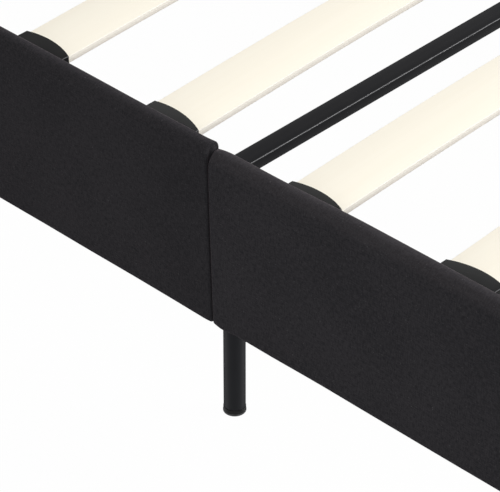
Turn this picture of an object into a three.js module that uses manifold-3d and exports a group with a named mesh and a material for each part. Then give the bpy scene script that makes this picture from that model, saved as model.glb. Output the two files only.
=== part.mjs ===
// A single bed frame: upholstered panels hung on a steel tube frame, with six round legs
// and eight sprung slats that sit in plastic end caps. Millimetres, +Z up, +X from head to foot.
// The origin is on the floor under the middle of the bed.
import * as THREE from "three";
import { mergeVertices } from "three/addons/utils/BufferGeometryUtils.js";
import Module from "manifold-3d";

const wasm = await Module();
wasm.setup();

// Mattress and the space round it
const mattressLength = 1905;
const mattressWidth = 991;
const mattressEase = 6.5; // between the mattress and each panel

// Upholstered panels: a board wrapped in foam and fabric, with a thin lining on the inside
const panelBottom = 145.5; // clear height under the bed
const panelHeight = 232.5;
const boardThickness = 12;
const foamThickness = 5; // on the outer face
const wrapThickness = 2.5; // round the board's edges
const liningThickness = 1.4; // on the inner face
const panelFrontRadius = 6;
const panelBackRadius = 2;
const seamGap = 1.5; // between the two halves of a side

// Steel tubes that carry the slats
const tubeWidth = 30;
const tubeHeight = 30;
const tubeWall = 1.5;
const ledgeDrop = 45.3; // from the panels' upper edge down to the tubes' top face
const seamTubeGap = 8; // between the two halves of a side tube, where the cross bolt passes

// Flat cross tube that ties the two sides together at the seam
const crossTubeWidth = 26;
const crossTubeHeight = 14.5;
const crossTubeWall = 1.2;
const crossTubeInset = 3; // its ends stop this far short of the panels

// Legs and their glides
const legDiameter = 26;
const legWall = 1.2;
const spigotLength = 35; // the stub on a plate that a leg pushes onto
const glideHeight = 8; // what shows of the glide below the leg
const glideDiameter = 26.8;
const glideBaseDiameter = 27.6;
const glideBaseHeight = 2.2;
const glideChamfer = 0.6;
const glidePlugLength = 16;

// Plates under the tubes
const plateThickness = 3;
const jointPlateLength = 160;
const gussetReach = 111; // along both tubes at a corner
const gussetShoulder = 30;
const weldDepth = 0.4; // how far a weld bites into the tube

// Slats
const slatsPerHalf = 4;
const slatFirst = 110.5; // from the seam to the first slat's centre
const slatLastToEnd = 197.5; // from the last slat's centre to the end panel
const slatWidth = 72;
const slatThickness = 9;
const slatRise = 12; // how far the bow lifts the middle above the ends

// Slat end caps
const capWall = 1.75; // at the sides
const capBackWall = 3;
const capFloor = 5.7; // under the slat's end
const capRoof = 5.5; // above the slat's end
const capDepth = 35.5; // from its back to the corners of its mouth
const capMouthBulge = 8; // how far the mouth's arc stands out
const capBackRadius = 4;
const capClearance = 0.8; // to the panel, so that a slat lifts out freely
const pegDiameter = 8;
const pegLength = 11;
const pegSpacing = 40;

// Fasteners
const boltDiameter = 6;
const boltHeadAcross = 10;
const boltHeadHeight = 4;
const boltNutHeight = 5;
const jointBoltNear = 30; // from the seam
const jointBoltFar = 62;
const gussetBoltNear = 40; // from the end tube
const gussetBoltFar = 66;
const crossBoltHeadDiameter = 12;
const crossBoltHeadHeight = 3.5;
const crossBoltSocketAcross = 4;
const crossBoltSocketDepth = 2;
const crossBoltReach = 20; // how far the cross bolt goes into the spigot
const spigotBoreSpare = 4; // depth of the spigot's bore beyond the cross bolt
const screwDiameter = 5;
const screwHeadDiameter = 10;
const screwHeadHeight = 2.5;
const screwBite = 9; // how far a screw goes into the board
const screwEndDistance = 55; // from a side panel's ends
const screwMiddle = 436; // the middle screw of a side, from the seam
const endScrewSpacing = 380; // between the three screws of an end panel

// Clearances
const fitGap = 0.3; // between neighbouring pieces
const holeGap = 0.3; // round a bolt, screw or peg, on the radius

// Roundness
const roundSegments = 16;
const boreSegments = 8;
const hexSides = 6;
const slatSegments = 9;
const mouthSegments = 6;
const cornerSegments = 3;

// Worked out from the sizes above
const liningToBoard = liningThickness + fitGap;
const panelThickness = foamThickness + fitGap + boardThickness + liningToBoard;
const innerLength = mattressLength + 2 * mattressEase;
const innerWidth = mattressWidth + 2 * mattressEase;
const halfInnerLength = innerLength / 2;
const halfInnerWidth = innerWidth / 2;
const panelCentre = panelBottom + panelHeight / 2;
const sidePanelStart = seamGap / 2;
const sidePanelEnd = halfInnerLength - fitGap;
const ledgeTop = panelBottom + panelHeight - ledgeDrop;
const tubeBottom = ledgeTop - tubeHeight;
const tubeCentre = ledgeTop - tubeHeight / 2;
const sideTubeCentre = halfInnerWidth - fitGap - tubeWidth / 2; // from the bed's middle line
const endTubeCentre = halfInnerLength - fitGap - tubeWidth / 2;
const sideTubeStart = seamTubeGap / 2;
const sideTubeEnd = endTubeCentre - tubeWidth / 2 - fitGap;
const plateTop = tubeBottom - fitGap;
const plateBottom = plateTop - plateThickness;
const legBore = legDiameter - 2 * legWall;
const spigotDiameter = legBore - 2 * fitGap;
const legTop = plateBottom - fitGap;
const legBottom = glideHeight + fitGap;
const capBottom = ledgeTop + fitGap;
const slatSeat = capBottom + capFloor + fitGap; // underside of a slat's end
const capTop = slatSeat + slatThickness + capRoof;
const capBack = halfInnerWidth - capClearance;
const slatPitch = (halfInnerLength - slatLastToEnd - slatFirst) / (slatsPerHalf - 1);
const slatEnd = capBack - capBackWall - fitGap; // half a slat's length
const slatRadius = (slatEnd ** 2 + slatRise ** 2) / (2 * slatRise); // of the upper face
const slatBowCentre = slatSeat + slatThickness + slatRise - slatRadius;
const crossTubeBottom = ledgeTop + fitGap;
const crossTubeTop = crossTubeBottom + crossTubeHeight;
const boltHole = boltDiameter + 2 * holeGap;
const screwHole = screwDiameter + 2 * holeGap;

const steel = new THREE.MeshStandardMaterial({ color: 0x222427, roughness: 0.42, metalness: 0.35 });
const fabric = new THREE.MeshStandardMaterial({ color: 0x29282b, roughness: 0.95, metalness: 0 });
const boardWood = new THREE.MeshStandardMaterial({ color: 0xb98f5c, roughness: 0.8, metalness: 0 });
const slatWood = new THREE.MeshStandardMaterial({ color: 0xfaf2df, roughness: 0.55, metalness: 0 });
const plastic = new THREE.MeshStandardMaterial({ color: 0x2a2b2c, roughness: 0.5, metalness: 0 });
const zincSteel = new THREE.MeshStandardMaterial({ color: 0x3a3c3f, roughness: 0.35, metalness: 0.8 });

// A three.js geometry as a solid that can be joined and cut.
function solidOf(geometry) {
  const bare = geometry.index ? geometry.toNonIndexed() : geometry.clone();
  bare.deleteAttribute("normal");
  bare.deleteAttribute("uv");
  const merged = mergeVertices(bare, 1e-4);
  const vertProperties = merged.attributes.position.array;
  const triVerts = new Uint32Array(merged.index.array);
  return new wasm.Manifold(new wasm.Mesh({ numProp: 3, vertProperties, triVerts }));
}

// A solid as a flat-shaded three.js geometry.
function geometryOf(solid) {
  const { vertProperties, triVerts } = solid.getMesh();
  const geometry = new THREE.BufferGeometry();
  geometry.setAttribute("position", new THREE.BufferAttribute(vertProperties, 3));
  geometry.setIndex(new THREE.BufferAttribute(triVerts, 1));
  const flat = geometry.toNonIndexed();
  flat.computeVertexNormals();
  return flat;
}

function joined(...solids) {
  return solids.reduce((whole, next) => whole.add(next));
}

// A box of the given sizes round a centre.
function block(size, centre) {
  return solidOf(new THREE.BoxGeometry(...size).translate(...centre));
}

// A square-ended bar between two heights.
function post(diameter, x, y, low, high, segments = boreSegments) {
  const bar = new THREE.CylinderGeometry(diameter / 2, diameter / 2, high - low, segments);
  return solidOf(bar.rotateX(Math.PI / 2).translate(x, y, (low + high) / 2));
}

// The same lying along Y.
function pinAlongY(diameter, x, z, low, high, segments = boreSegments) {
  const bar = new THREE.CylinderGeometry(diameter / 2, diameter / 2, high - low, segments);
  return solidOf(bar.translate(x, (low + high) / 2, z));
}

// A section drawn in Y and Z, carried along X between two places.
function alongX(shape, low, high, curveSegments) {
  const options = { depth: high - low, bevelEnabled: false, curveSegments };
  const bar = new THREE.ExtrudeGeometry(shape, options);
  return solidOf(bar.rotateX(Math.PI / 2).rotateZ(Math.PI / 2).translate(low, 0, 0));
}

// A plan drawn in X and Y, raised between two heights.
function raised(shape, low, high, curveSegments) {
  const options = { depth: high - low, bevelEnabled: false, curveSegments };
  return solidOf(new THREE.ExtrudeGeometry(shape, options).translate(0, 0, low));
}

// A rectangle with its own radius at the front (low x) and back corners.
function roundedSection(width, height, frontRadius, backRadius) {
  const right = width / 2;
  const top = height / 2;
  const shape = new THREE.Shape();
  shape.absarc(-right + frontRadius, -top + frontRadius, frontRadius, Math.PI, 1.5 * Math.PI);
  shape.absarc(right - backRadius, -top + backRadius, backRadius, -Math.PI / 2, 0);
  shape.absarc(right - backRadius, top - backRadius, backRadius, 0, Math.PI / 2);
  shape.absarc(-right + frontRadius, top - frontRadius, frontRadius, Math.PI / 2, Math.PI);
  return shape;
}

// Where the screws hold a side panel, from the seam.
const sideScrews = [
  sidePanelStart + screwEndDistance,
  screwMiddle,
  sideTubeEnd - screwEndDistance,
];
const endScrews = [-endScrewSpacing, 0, endScrewSpacing];

// The panels are made lying along X with their outer face towards -Y. panelFace is the distance
// of the inner face from the bed's middle, and screws lists where the screws go in.
function panelBoard(low, high, panelFace, screws) {
  const length = high - low - 2 * (wrapThickness + fitGap);
  const height = panelHeight - 2 * (wrapThickness + fitGap);
  const middle = -panelFace - liningToBoard - boardThickness / 2;
  const board = block([length, boardThickness, height], [(low + high) / 2, middle, panelCentre]);
  const backFace = -panelFace - liningToBoard;
  const holes = screws.map((x) =>
    pinAlongY(screwHole, x, tubeCentre, backFace - screwBite - fitGap, backFace + fitGap),
  );
  return board.subtract(joined(...holes));
}

function panelCover(low, high, panelFace, screws) {
  const section = roundedSection(panelThickness, panelHeight, panelFrontRadius, panelBackRadius);
  const outer = alongX(section, low, high, cornerSegments);
  const placed = outer.translate(0, -panelFace - panelThickness / 2, panelCentre);
  const length = high - low - 2 * wrapThickness;
  const height = panelHeight - 2 * wrapThickness;
  const depth = boardThickness + 2 * fitGap;
  const middle = -panelFace - liningThickness - depth / 2;
  const cavity = block([length, depth, height], [(low + high) / 2, middle, panelCentre]);
  const holes = screws.map((x) =>
    pinAlongY(screwHole, x, tubeCentre, -panelFace - panelThickness / 2, -panelFace + fitGap),
  );
  return placed.subtract(cavity).subtract(joined(...holes));
}

// A rectangular tube along X.
function tubeAlongX(width, height, wall, low, high, centre) {
  const middle = (low + high) / 2;
  const outer = block([high - low, width, height], [middle, ...centre]);
  const bore = [high - low + 2 * wall, width - 2 * wall, height - 2 * wall];
  return outer.subtract(block(bore, [middle, ...centre]));
}

// Screws that run through a tube from its inner face and into the board behind it.
function panelScrews(screws, panelFace) {
  const tubeInnerFace = -panelFace + fitGap + tubeWidth;
  const tip = -panelFace - liningToBoard - screwBite;
  const each = screws.map((x) =>
    joined(
      pinAlongY(screwDiameter, x, tubeCentre, tip, tubeInnerFace + screwHeadHeight / 2),
      pinAlongY(screwHeadDiameter, x, tubeCentre, tubeInnerFace, tubeInnerFace + screwHeadHeight),
    ),
  );
  return joined(...each);
}

const slatPlaces = Array.from({ length: slatsPerHalf }, (_, i) => slatFirst + i * slatPitch);

// The tube of one half of a side, from the seam towards +X, on the -Y side.
function sideTube() {
  const centre = [-sideTubeCentre, tubeCentre];
  const tube = tubeAlongX(tubeWidth, tubeHeight, tubeWall, sideTubeStart, sideTubeEnd, centre);
  const pegPlaces = slatPlaces.flatMap((x) => [x - pegSpacing / 2, x + pegSpacing / 2]);
  const pegHoles = pegPlaces.map((x) =>
    post(pegDiameter + 2 * holeGap, x, -sideTubeCentre, ledgeTop - 2 * tubeWall, ledgeTop + fitGap),
  );
  const gussetBolts = [sideTubeEnd - gussetBoltNear, sideTubeEnd - gussetBoltFar];
  const boltPlaces = [jointBoltNear, jointBoltFar, ...gussetBolts];
  const boltHoles = boltPlaces.map((x) =>
    post(boltHole, x, -sideTubeCentre, tubeBottom - fitGap, tubeBottom + 2 * tubeWall),
  );
  const drilled = tube.subtract(joined(...pegHoles, ...boltHoles));
  return drilled.add(panelScrews(sideScrews, halfInnerWidth));
}

// A hexagon bolt up through a plate and the wall of the tube above it, with its nut inside the tube.
function plateBolt(x, y) {
  const nutBottom = tubeBottom + tubeWall + fitGap;
  const nutTop = nutBottom + boltNutHeight;
  const acrossCorners = boltHeadAcross / Math.cos(Math.PI / hexSides);
  return joined(
    post(acrossCorners, x, y, plateBottom - boltHeadHeight, plateBottom + plateThickness / 2, hexSides),
    post(boltDiameter, x, y, plateBottom, nutTop),
    post(acrossCorners, x, y, nutBottom, nutTop, hexSides),
  );
}

// The stub under a plate that a leg pushes onto.
function spigot(x, y) {
  const top = plateBottom + plateThickness / 2;
  return post(spigotDiameter, x, y, plateBottom - spigotLength, top, roundSegments);
}

// The plate that joins the two halves of a side tube and carries the middle leg.
function jointPlate() {
  const size = [jointPlateLength, tubeWidth, plateThickness];
  const plate = block(size, [0, -sideTubeCentre, plateBottom + plateThickness / 2]);
  const places = [-jointBoltFar, -jointBoltNear, jointBoltNear, jointBoltFar];
  const bolts = places.map((x) => plateBolt(x, -sideTubeCentre));
  const boreBottom = plateBottom - crossBoltReach - spigotBoreSpare;
  const bore = post(boltHole, 0, -sideTubeCentre, boreBottom, plateTop + fitGap);
  return joined(plate, spigot(0, -sideTubeCentre), ...bolts).subtract(bore);
}

// The tube across the +X end with a gusset plate welded under each corner.
function endFrame() {
  const halfTube = tubeWidth / 2;
  const centre = [-endTubeCentre, tubeCentre];
  const reach = halfInnerWidth - fitGap;
  const tube = tubeAlongX(tubeWidth, tubeHeight, tubeWall, -reach, reach, centre);
  const weld = [gussetReach, tubeWidth, fitGap + 2 * weldDepth];
  const gussets = [-1, 1].map((side) => {
    const outerX = side * reach;
    const outerY = -endTubeCentre - halfTube;
    const plan = new THREE.Shape();
    plan.moveTo(outerX, outerY);
    plan.lineTo(outerX - side * gussetReach, outerY);
    plan.lineTo(outerX - side * gussetReach, outerY + gussetShoulder);
    plan.lineTo(outerX - side * gussetShoulder, outerY + gussetReach);
    plan.lineTo(outerX, outerY + gussetReach);
    const plate = raised(plan, plateBottom, plateTop);
    const weldPlace = [outerX - (side * gussetReach) / 2, -endTubeCentre, plateTop + fitGap / 2];
    const boltX = side * sideTubeCentre;
    const boltStart = -sideTubeEnd;
    const bolts = [gussetBoltNear, gussetBoltFar].map((step) => plateBolt(boltX, boltStart + step));
    return joined(plate, block(weld, weldPlace), spigot(boltX, -endTubeCentre), ...bolts);
  });
  return joined(tube, ...gussets, panelScrews(endScrews, halfInnerLength));
}

function crossTube() {
  const reach = halfInnerWidth - crossTubeInset;
  const centre = [0, (crossTubeBottom + crossTubeTop) / 2];
  const tube = tubeAlongX(crossTubeWidth, crossTubeHeight, crossTubeWall, -reach, reach, centre);
  const holes = [-sideTubeCentre, sideTubeCentre].map((x) =>
    post(boltHole, x, 0, crossTubeBottom - fitGap, crossTubeTop + fitGap),
  );
  return tube.subtract(joined(...holes));
}

// The bolt that pins the cross tube down, through the seam between the side tubes.
function crossBolt() {
  const headBottom = crossTubeTop + fitGap;
  const headTop = headBottom + crossBoltHeadHeight;
  const socketCorners = crossBoltSocketAcross / Math.cos(Math.PI / hexSides);
  return joined(
    post(boltDiameter, 0, 0, plateBottom - crossBoltReach, headBottom + crossBoltHeadHeight / 2),
    post(crossBoltHeadDiameter, 0, 0, headBottom, headTop, roundSegments),
  ).subtract(post(socketCorners, 0, 0, headTop - crossBoltSocketDepth, headTop + fitGap, hexSides));
}

// A turned shape from (radius, height) points that start and end on the axis or close on themselves.
function turned(points) {
  const profile = points.map(([radius, height]) => new THREE.Vector2(radius, height));
  return solidOf(new THREE.LatheGeometry(profile, roundSegments).rotateX(Math.PI / 2));
}

function leg() {
  const outer = legDiameter / 2;
  const inner = legBore / 2;
  return turned([
    [inner, legBottom],
    [outer, legBottom],
    [outer, legTop],
    [inner, legTop],
    [inner, legBottom],
  ]);
}

function glide() {
  const base = glideBaseDiameter / 2;
  const collar = glideDiameter / 2;
  const plug = legBore / 2 - fitGap;
  return turned([
    [0, 0],
    [base - glideChamfer, 0],
    [base, glideChamfer],
    [base, glideBaseHeight],
    [collar, glideBaseHeight + glideChamfer],
    [collar, glideHeight],
    [plug, glideHeight],
    [plug, glideHeight + glidePlugLength],
    [0, glideHeight + glidePlugLength],
  ]);
}

// The bowed band of a slat in Y and Z, grown all round by grow and reaching reach from the middle.
function slatBand(grow, reach) {
  const upper = slatRadius + grow;
  const lower = slatRadius - slatThickness - grow;
  const turn = Math.asin(reach / slatRadius);
  const band = new THREE.Shape();
  band.absarc(0, slatBowCentre, upper, Math.PI / 2 - turn, Math.PI / 2 + turn);
  band.absarc(0, slatBowCentre, lower, Math.PI / 2 + turn, Math.PI / 2 - turn, true);
  return band;
}

function slat() {
  return alongX(slatBand(0, slatEnd), -slatWidth / 2, slatWidth / 2, slatSegments);
}

// The cap on a slat's -Y end: a pocket with a bowed mouth and two pegs that drop into the tube.
function slatCap() {
  const halfWidth = slatWidth / 2 + fitGap + capWall;
  const back = -capBack;
  const mouth = back + capDepth;
  const mouthRadius = (halfWidth ** 2 + capMouthBulge ** 2) / (2 * capMouthBulge);
  const mouthTurn = Math.asin(halfWidth / mouthRadius);
  const mouthCentre = mouth + capMouthBulge - mouthRadius;
  const plan = new THREE.Shape();
  plan.absarc(-halfWidth + capBackRadius, back + capBackRadius, capBackRadius, Math.PI, 1.5 * Math.PI);
  plan.absarc(halfWidth - capBackRadius, back + capBackRadius, capBackRadius, -Math.PI / 2, 0);
  plan.absarc(0, mouthCentre, mouthRadius, Math.PI / 2 - mouthTurn, Math.PI / 2 + mouthTurn);
  const body = raised(plan, capBottom, capTop, mouthSegments);
  const pocketHalf = slatWidth / 2 + fitGap;
  const pocket = alongX(slatBand(fitGap, slatEnd + fitGap), -pocketHalf, pocketHalf, slatSegments);
  const pegs = [-pegSpacing / 2, pegSpacing / 2].map((x) =>
    post(pegDiameter, x, -sideTubeCentre, capBottom - pegLength, capBottom + capBackWall / 2),
  );
  return joined(body, ...pegs).subtract(pocket);
}

function piece(name, solid, material) {
  const mesh = new THREE.Mesh(geometryOf(solid), material);
  mesh.name = name;
  return mesh;
}

const mirroredInX = (solid) => solid.mirror([1, 0, 0]);
const bed = new THREE.Group();

// The two long sides. The -Y side is the left one, seen from the foot; the right one is turned round.
const sideBoard = panelBoard(sidePanelStart, sidePanelEnd, halfInnerWidth, sideScrews);
const sideCover = panelCover(sidePanelStart, sidePanelEnd, halfInnerWidth, sideScrews);
const halfSideTube = sideTube();
const sideJointPlate = jointPlate();
const crossTubeBolt = crossBolt();
const legSolid = leg();
const glideSolid = glide();

for (const side of ["left", "right"]) {
  const group = new THREE.Group();
  group.rotation.z = side === "left" ? 0 : Math.PI;
  for (const [half, towardsFoot] of [["foot", side === "left"], ["head", side === "right"]]) {
    const turn = towardsFoot ? (solid) => solid : mirroredInX;
    group.add(piece(`rail_board_${side}_${half}`, turn(sideBoard), boardWood));
    group.add(piece(`rail_cover_${side}_${half}`, turn(sideCover), fabric));
    group.add(piece(`side_tube_${side}_${half}`, turn(halfSideTube), steel));
  }
  group.add(piece(`joint_plate_${side}`, sideJointPlate, steel));
  const bolt = piece(`cross_bolt_${side}`, crossTubeBolt, zincSteel);
  bolt.position.y = -sideTubeCentre;
  group.add(bolt);
  bed.add(group);
}

// The foot end is made along -Y and turned to face +X; the head end faces -X.
const reachAcross = halfInnerWidth + panelThickness;
const endBoard = panelBoard(-reachAcross, reachAcross, halfInnerLength, endScrews);
const endCover = panelCover(-reachAcross, reachAcross, halfInnerLength, endScrews);
const endFrameSolid = endFrame();
for (const [end, turn] of [["foot", Math.PI / 2], ["head", -Math.PI / 2]]) {
  const group = new THREE.Group();
  group.rotation.z = turn;
  group.add(piece(`${end}_board`, endBoard, boardWood));
  group.add(piece(`${end}_cover`, endCover, fabric));
  group.add(piece(`${end}_frame`, endFrameSolid, steel));
  bed.add(group);
}

const crossTubeMesh = piece("cross_tube", crossTube(), steel);
crossTubeMesh.rotation.z = Math.PI / 2;
bed.add(crossTubeMesh);

// Six legs, each with its glide: at the corners and under both seams.
for (const [end, x] of [["foot", endTubeCentre], ["middle", 0], ["head", -endTubeCentre]]) {
  for (const [side, y] of [["left", -sideTubeCentre], ["right", sideTubeCentre]]) {
    for (const [kind, solid, material] of [["leg", legSolid, steel], ["glide", glideSolid, plastic]]) {
      const mesh = piece(`${kind}_${end}_${side}`, solid, material);
      mesh.position.set(x, y, 0);
      bed.add(mesh);
    }
  }
}

// The slats, numbered from the head, each with a cap at both ends.
const slatSolid = slat();
const capSolid = slatCap();
const allSlats = [...slatPlaces.map((x) => -x).reverse(), ...slatPlaces];
allSlats.forEach((x, i) => {
  const group = new THREE.Group();
  group.position.x = x;
  group.add(piece(`slat_${i + 1}`, slatSolid, slatWood));
  group.add(piece(`slat_cap_${i + 1}_left`, capSolid, plastic));
  const rightCap = piece(`slat_cap_${i + 1}_right`, capSolid, plastic);
  rightCap.rotation.z = Math.PI;
  group.add(rightCap);
  bed.add(group);
});

export default bed;
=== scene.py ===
import math

import bpy
import numpy as np
from mathutils import Matrix, Vector


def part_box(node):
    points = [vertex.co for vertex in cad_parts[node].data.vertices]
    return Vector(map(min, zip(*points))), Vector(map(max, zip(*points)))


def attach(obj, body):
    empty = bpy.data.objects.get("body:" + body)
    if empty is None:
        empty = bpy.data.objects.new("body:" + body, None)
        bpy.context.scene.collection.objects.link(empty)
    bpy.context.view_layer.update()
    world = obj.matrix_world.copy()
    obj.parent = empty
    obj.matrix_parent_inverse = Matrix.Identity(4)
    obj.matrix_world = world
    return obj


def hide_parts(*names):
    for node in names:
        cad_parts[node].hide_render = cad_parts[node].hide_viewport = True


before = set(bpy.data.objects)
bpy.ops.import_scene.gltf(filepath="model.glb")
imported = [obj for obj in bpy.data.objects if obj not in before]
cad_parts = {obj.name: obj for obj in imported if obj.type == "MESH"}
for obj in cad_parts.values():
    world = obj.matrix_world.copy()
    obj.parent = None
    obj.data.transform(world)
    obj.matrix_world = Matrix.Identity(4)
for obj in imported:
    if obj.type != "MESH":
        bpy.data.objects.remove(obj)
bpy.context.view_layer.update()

scene = bpy.context.scene
mm = 0.001
sideSign = {"left": -1, "right": 1}
endSign = {"head": -1, "foot": 1}
sharpAngle = 35  # degrees between two faces past which their edge shades sharp
cutPast = 2 * mm  # how far a cutting tool stands out of what it cuts


# Sets several properties of one thing by name.
def setAll(thing, **values):
    for name, value in values.items():
        setattr(thing, name, value)
    return thing


# Quads between neighbouring rows and columns of a grid of points, numbered row by row.
# A closed grid also joins its last row or column to its first.
def gridQuads(rows, cols, closeRows=False, closeCols=False):
    i = np.arange(rows if closeRows else rows - 1)[:, None]
    j = np.arange(cols if closeCols else cols - 1)[None, :]
    nextI, nextJ = (i + 1) % rows, (j + 1) % cols
    corners = (i * cols + j, i * cols + nextJ, nextI * cols + nextJ, nextI * cols + j)
    return np.stack(np.broadcast_arrays(*corners), -1).reshape(-1, 4)


# The outline of a rounded rectangle, anticlockwise: four arcs, each worked out from its centre.
def roundedLoop(width, height, radius, steps=5):
    turn = np.linspace(0, np.pi / 2, steps + 1)
    arcs = []
    for k, (sx, sy) in enumerate(((1, -1), (1, 1), (-1, 1), (-1, -1))):
        angle = turn + (k - 1) * np.pi / 2
        x = sx * (width / 2 - radius) + radius * np.cos(angle)
        y = sy * (height / 2 - radius) + radius * np.sin(angle)
        arcs.append(np.column_stack((x, y)))
    return np.concatenate(arcs)


# A hexagon's corners, at one distance from its centre.
def hexagon(radius):
    angle = np.linspace(0, 2 * np.pi, 6, endpoint=False)
    return np.column_stack((np.cos(angle), np.sin(angle))) * radius


# Points along a polygon line with its inner corners cut to arcs: each corner becomes a
# quadratic curve between two points that lie `radius` from it, or 0.45 of a short side.
def softened(points, radius, steps=4):
    points = [np.array(p, float) for p in points]
    out = [points[0]]
    t = np.linspace(0, 1, steps + 1)[:, None]
    for before, corner, after in zip(points, points[1:], points[2:]):
        back, on = before - corner, after - corner
        cut = min(radius, 0.45 * np.linalg.norm(back), 0.45 * np.linalg.norm(on))
        a = corner + back / np.linalg.norm(back) * cut
        b = corner + on / np.linalg.norm(on) * cut
        out.extend((1 - t) ** 2 * a + 2 * t * (1 - t) * corner + t ** 2 * b)
    out.append(points[-1])
    return np.array(out)


# Each (radius, height) pair of a profile as a ring of points about +Z.
def ringsOf(profile, steps):
    profile = np.asarray(profile, float)
    angle = np.linspace(0, 2 * np.pi, steps, endpoint=False)
    rings = (profile[:, :1] * np.cos(angle), profile[:, :1] * np.sin(angle),
             np.repeat(profile[:, 1:], steps, axis=1))
    return np.stack(rings, -1).reshape(-1, 3)


# A surface turned about +Z from a profile that runs from the lower pole to the upper.
def turnedSurface(profile, steps=48):
    rows = len(profile) - 2
    points = ringsOf(profile[1:-1], steps)
    faces = gridQuads(rows, steps, closeCols=True).tolist()
    low, high, last = len(points), len(points) + 1, (rows - 1) * steps
    for j in range(steps):
        k = (j + 1) % steps
        faces += [[low, k, j], [high, last + j, last + k]]
    return np.vstack((points, [[0, 0, profile[0][1]], [0, 0, profile[-1][1]]])), faces


# The same for a hollow: the profile closes on itself and never meets the axis.
def turnedRing(profile, steps=48):
    faces = gridQuads(len(profile), steps, closeRows=True, closeCols=True)
    return ringsOf(profile, steps), faces.tolist()


# A plain round bar along +Z.
def bar(diameter, low, high, steps=24):
    r = diameter / 2
    return turnedSurface(((0, low), (r, low), (r, high), (0, high)), steps)


# A solid bar: equal loops of points, one after another, closed by a face at each end.
def loft(loops):
    loops = np.asarray(loops, float)
    rows, cols = loops.shape[:2]
    faces = gridQuads(rows, cols, closeCols=True).tolist()
    faces.append(list(range(cols))[::-1])
    faces.append(list(range((rows - 1) * cols, rows * cols)))
    return loops.reshape(-1, 3), faces


# Flat outlines, each at its own height, as one solid.
def stacked(outlines, heights):
    return loft([np.column_stack((loop, np.full(len(loop), z))) for loop, z in zip(outlines, heights)])


# A square tube along X with rounded edges: the outer loop goes out, the inner one comes back,
# and a small bevel at each mouth joins them.
def tubeSurface(length, width, height, wall, radius, bevel=0.3 * mm):
    outer = roundedLoop(width, height, radius)
    rim = roundedLoop(width - 2 * bevel, height - 2 * bevel, radius - bevel)
    inner = roundedLoop(width - 2 * wall, height - 2 * wall, max(radius - wall, 0.4 * mm))
    rows = ((0, rim), (bevel, outer), (length - bevel, outer), (length, rim), (length, inner), (0, inner))
    points = np.concatenate([np.column_stack((np.full(len(loop), x), loop)) for x, loop in rows])
    return points, gridQuads(len(rows), len(outer), closeRows=True, closeCols=True).tolist()


# A plan moved inwards along the mean of its neighbouring edge normals, by the depth over the
# cosine of half the corner's turn. Very sharp corners move as if that cosine were 0.3.
def insetPlan(plan, depth):
    ahead = np.roll(plan, -1, 0) - plan
    ahead /= np.linalg.norm(ahead, axis=1)[:, None]
    behind = np.roll(ahead, 1, 0)
    normal = np.column_stack((-ahead[:, 1] - behind[:, 1], ahead[:, 0] + behind[:, 0]))
    normal /= np.linalg.norm(normal, axis=1)[:, None]
    cosine = np.abs(np.sum(normal * np.column_stack((-ahead[:, 1], ahead[:, 0])), axis=1))
    return plan + normal * (depth / np.maximum(cosine, 0.3))[:, None]


# A flat plate from its plan. Both edges are quarter rounds: at each step round them, the plan
# is inset by radius times (1 - sine), and lies radius times (1 - cosine) in from the face.
def plateSurface(plan, low, high, radius=0.4 * mm, steps=1):
    turn = np.linspace(0, np.pi / 2, steps + 1)
    inset, rise = radius * (1 - np.sin(turn)), radius * (1 - np.cos(turn))
    depths = np.concatenate((inset, inset[::-1]))
    heights = np.concatenate((low + rise, high - rise[::-1]))
    return stacked([insetPlan(plan, depth) for depth in depths], heights)


# Several (points, faces) pairs as one.
def together(parts):
    points, faces, count = [], [], 0
    for part, partFaces in parts:
        points.append(part)
        faces.extend([[i + count for i in face] for face in partFaces])
        count += len(part)
    return np.concatenate(points), faces


def moved(part, by):
    return part[0] + np.array(by, float), part[1]


# A quarter turn about +Z for each count.
def turned(part, quarters):
    c, s = ((1, 0), (0, 1), (-1, 0), (0, -1))[quarters % 4]
    x, y, z = part[0].T
    return np.column_stack((c * x - s * y, s * x + c * y, z)), part[1]


# A turned shape laid down so that its axis, +Z, points along +Y or -Y.
def laidAlongY(part, sign):
    x, y, z = part[0].T
    return np.column_stack((x, sign * z, -sign * y)), part[1]


def shadeSoftly(mesh, angle=sharpAngle):
    mesh.shade_smooth()
    mesh.set_sharp_from_angle(angle=math.radians(angle))


def linked(name, data):
    obj = bpy.data.objects.new(name, data)
    scene.collection.objects.link(obj)
    return obj


def newObject(name, part, material, angle=sharpAngle):
    mesh = bpy.data.meshes.new(name)
    mesh.from_pydata(part[0].tolist(), [], [list(f) for f in part[1]])
    mesh.update()
    shadeSoftly(mesh, angle)
    for m in material if isinstance(material, (list, tuple)) else [material]:
        mesh.materials.append(m)
    return linked(name, mesh)


def pointsOf(mesh):
    co = np.empty(3 * len(mesh.vertices), np.float32)
    mesh.vertices.foreach_get("co", co)
    return co.reshape(-1, 3).astype(float)


# Takes an object apart again, so that its points and faces can go into another.
def takenBack(obj):
    part = pointsOf(obj.data), [list(face.vertices) for face in obj.data.polygons]
    bpy.data.objects.remove(obj)
    return part


# Gives each point of a mesh a value that its material reads by name.
def setPointValue(obj, name, values):
    layer = obj.data.attributes.new(name, "FLOAT", "POINT")
    layer.data.foreach_set("value", np.broadcast_to(values, len(obj.data.vertices)).astype(np.float32))


# Gives each corner of a mesh its place on a flat map.
def setMap(obj, flatMap):
    layer = obj.data.uv_layers.new(name="map")
    layer.data.foreach_set("uv", np.array(flatMap, np.float32).ravel())


# Puts a piece on its body, and hides the CAD nodes that it stands for. Its finish, slot, is not used.
def settle(obj, body, slot, *nodes):
    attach(obj, body)
    if nodes:
        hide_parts(*nodes)


def addPiece(name, part, material, slot, *nodes, angle=sharpAngle):
    settle(newObject(name, part, material, angle), "frame", slot, *nodes)


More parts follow.
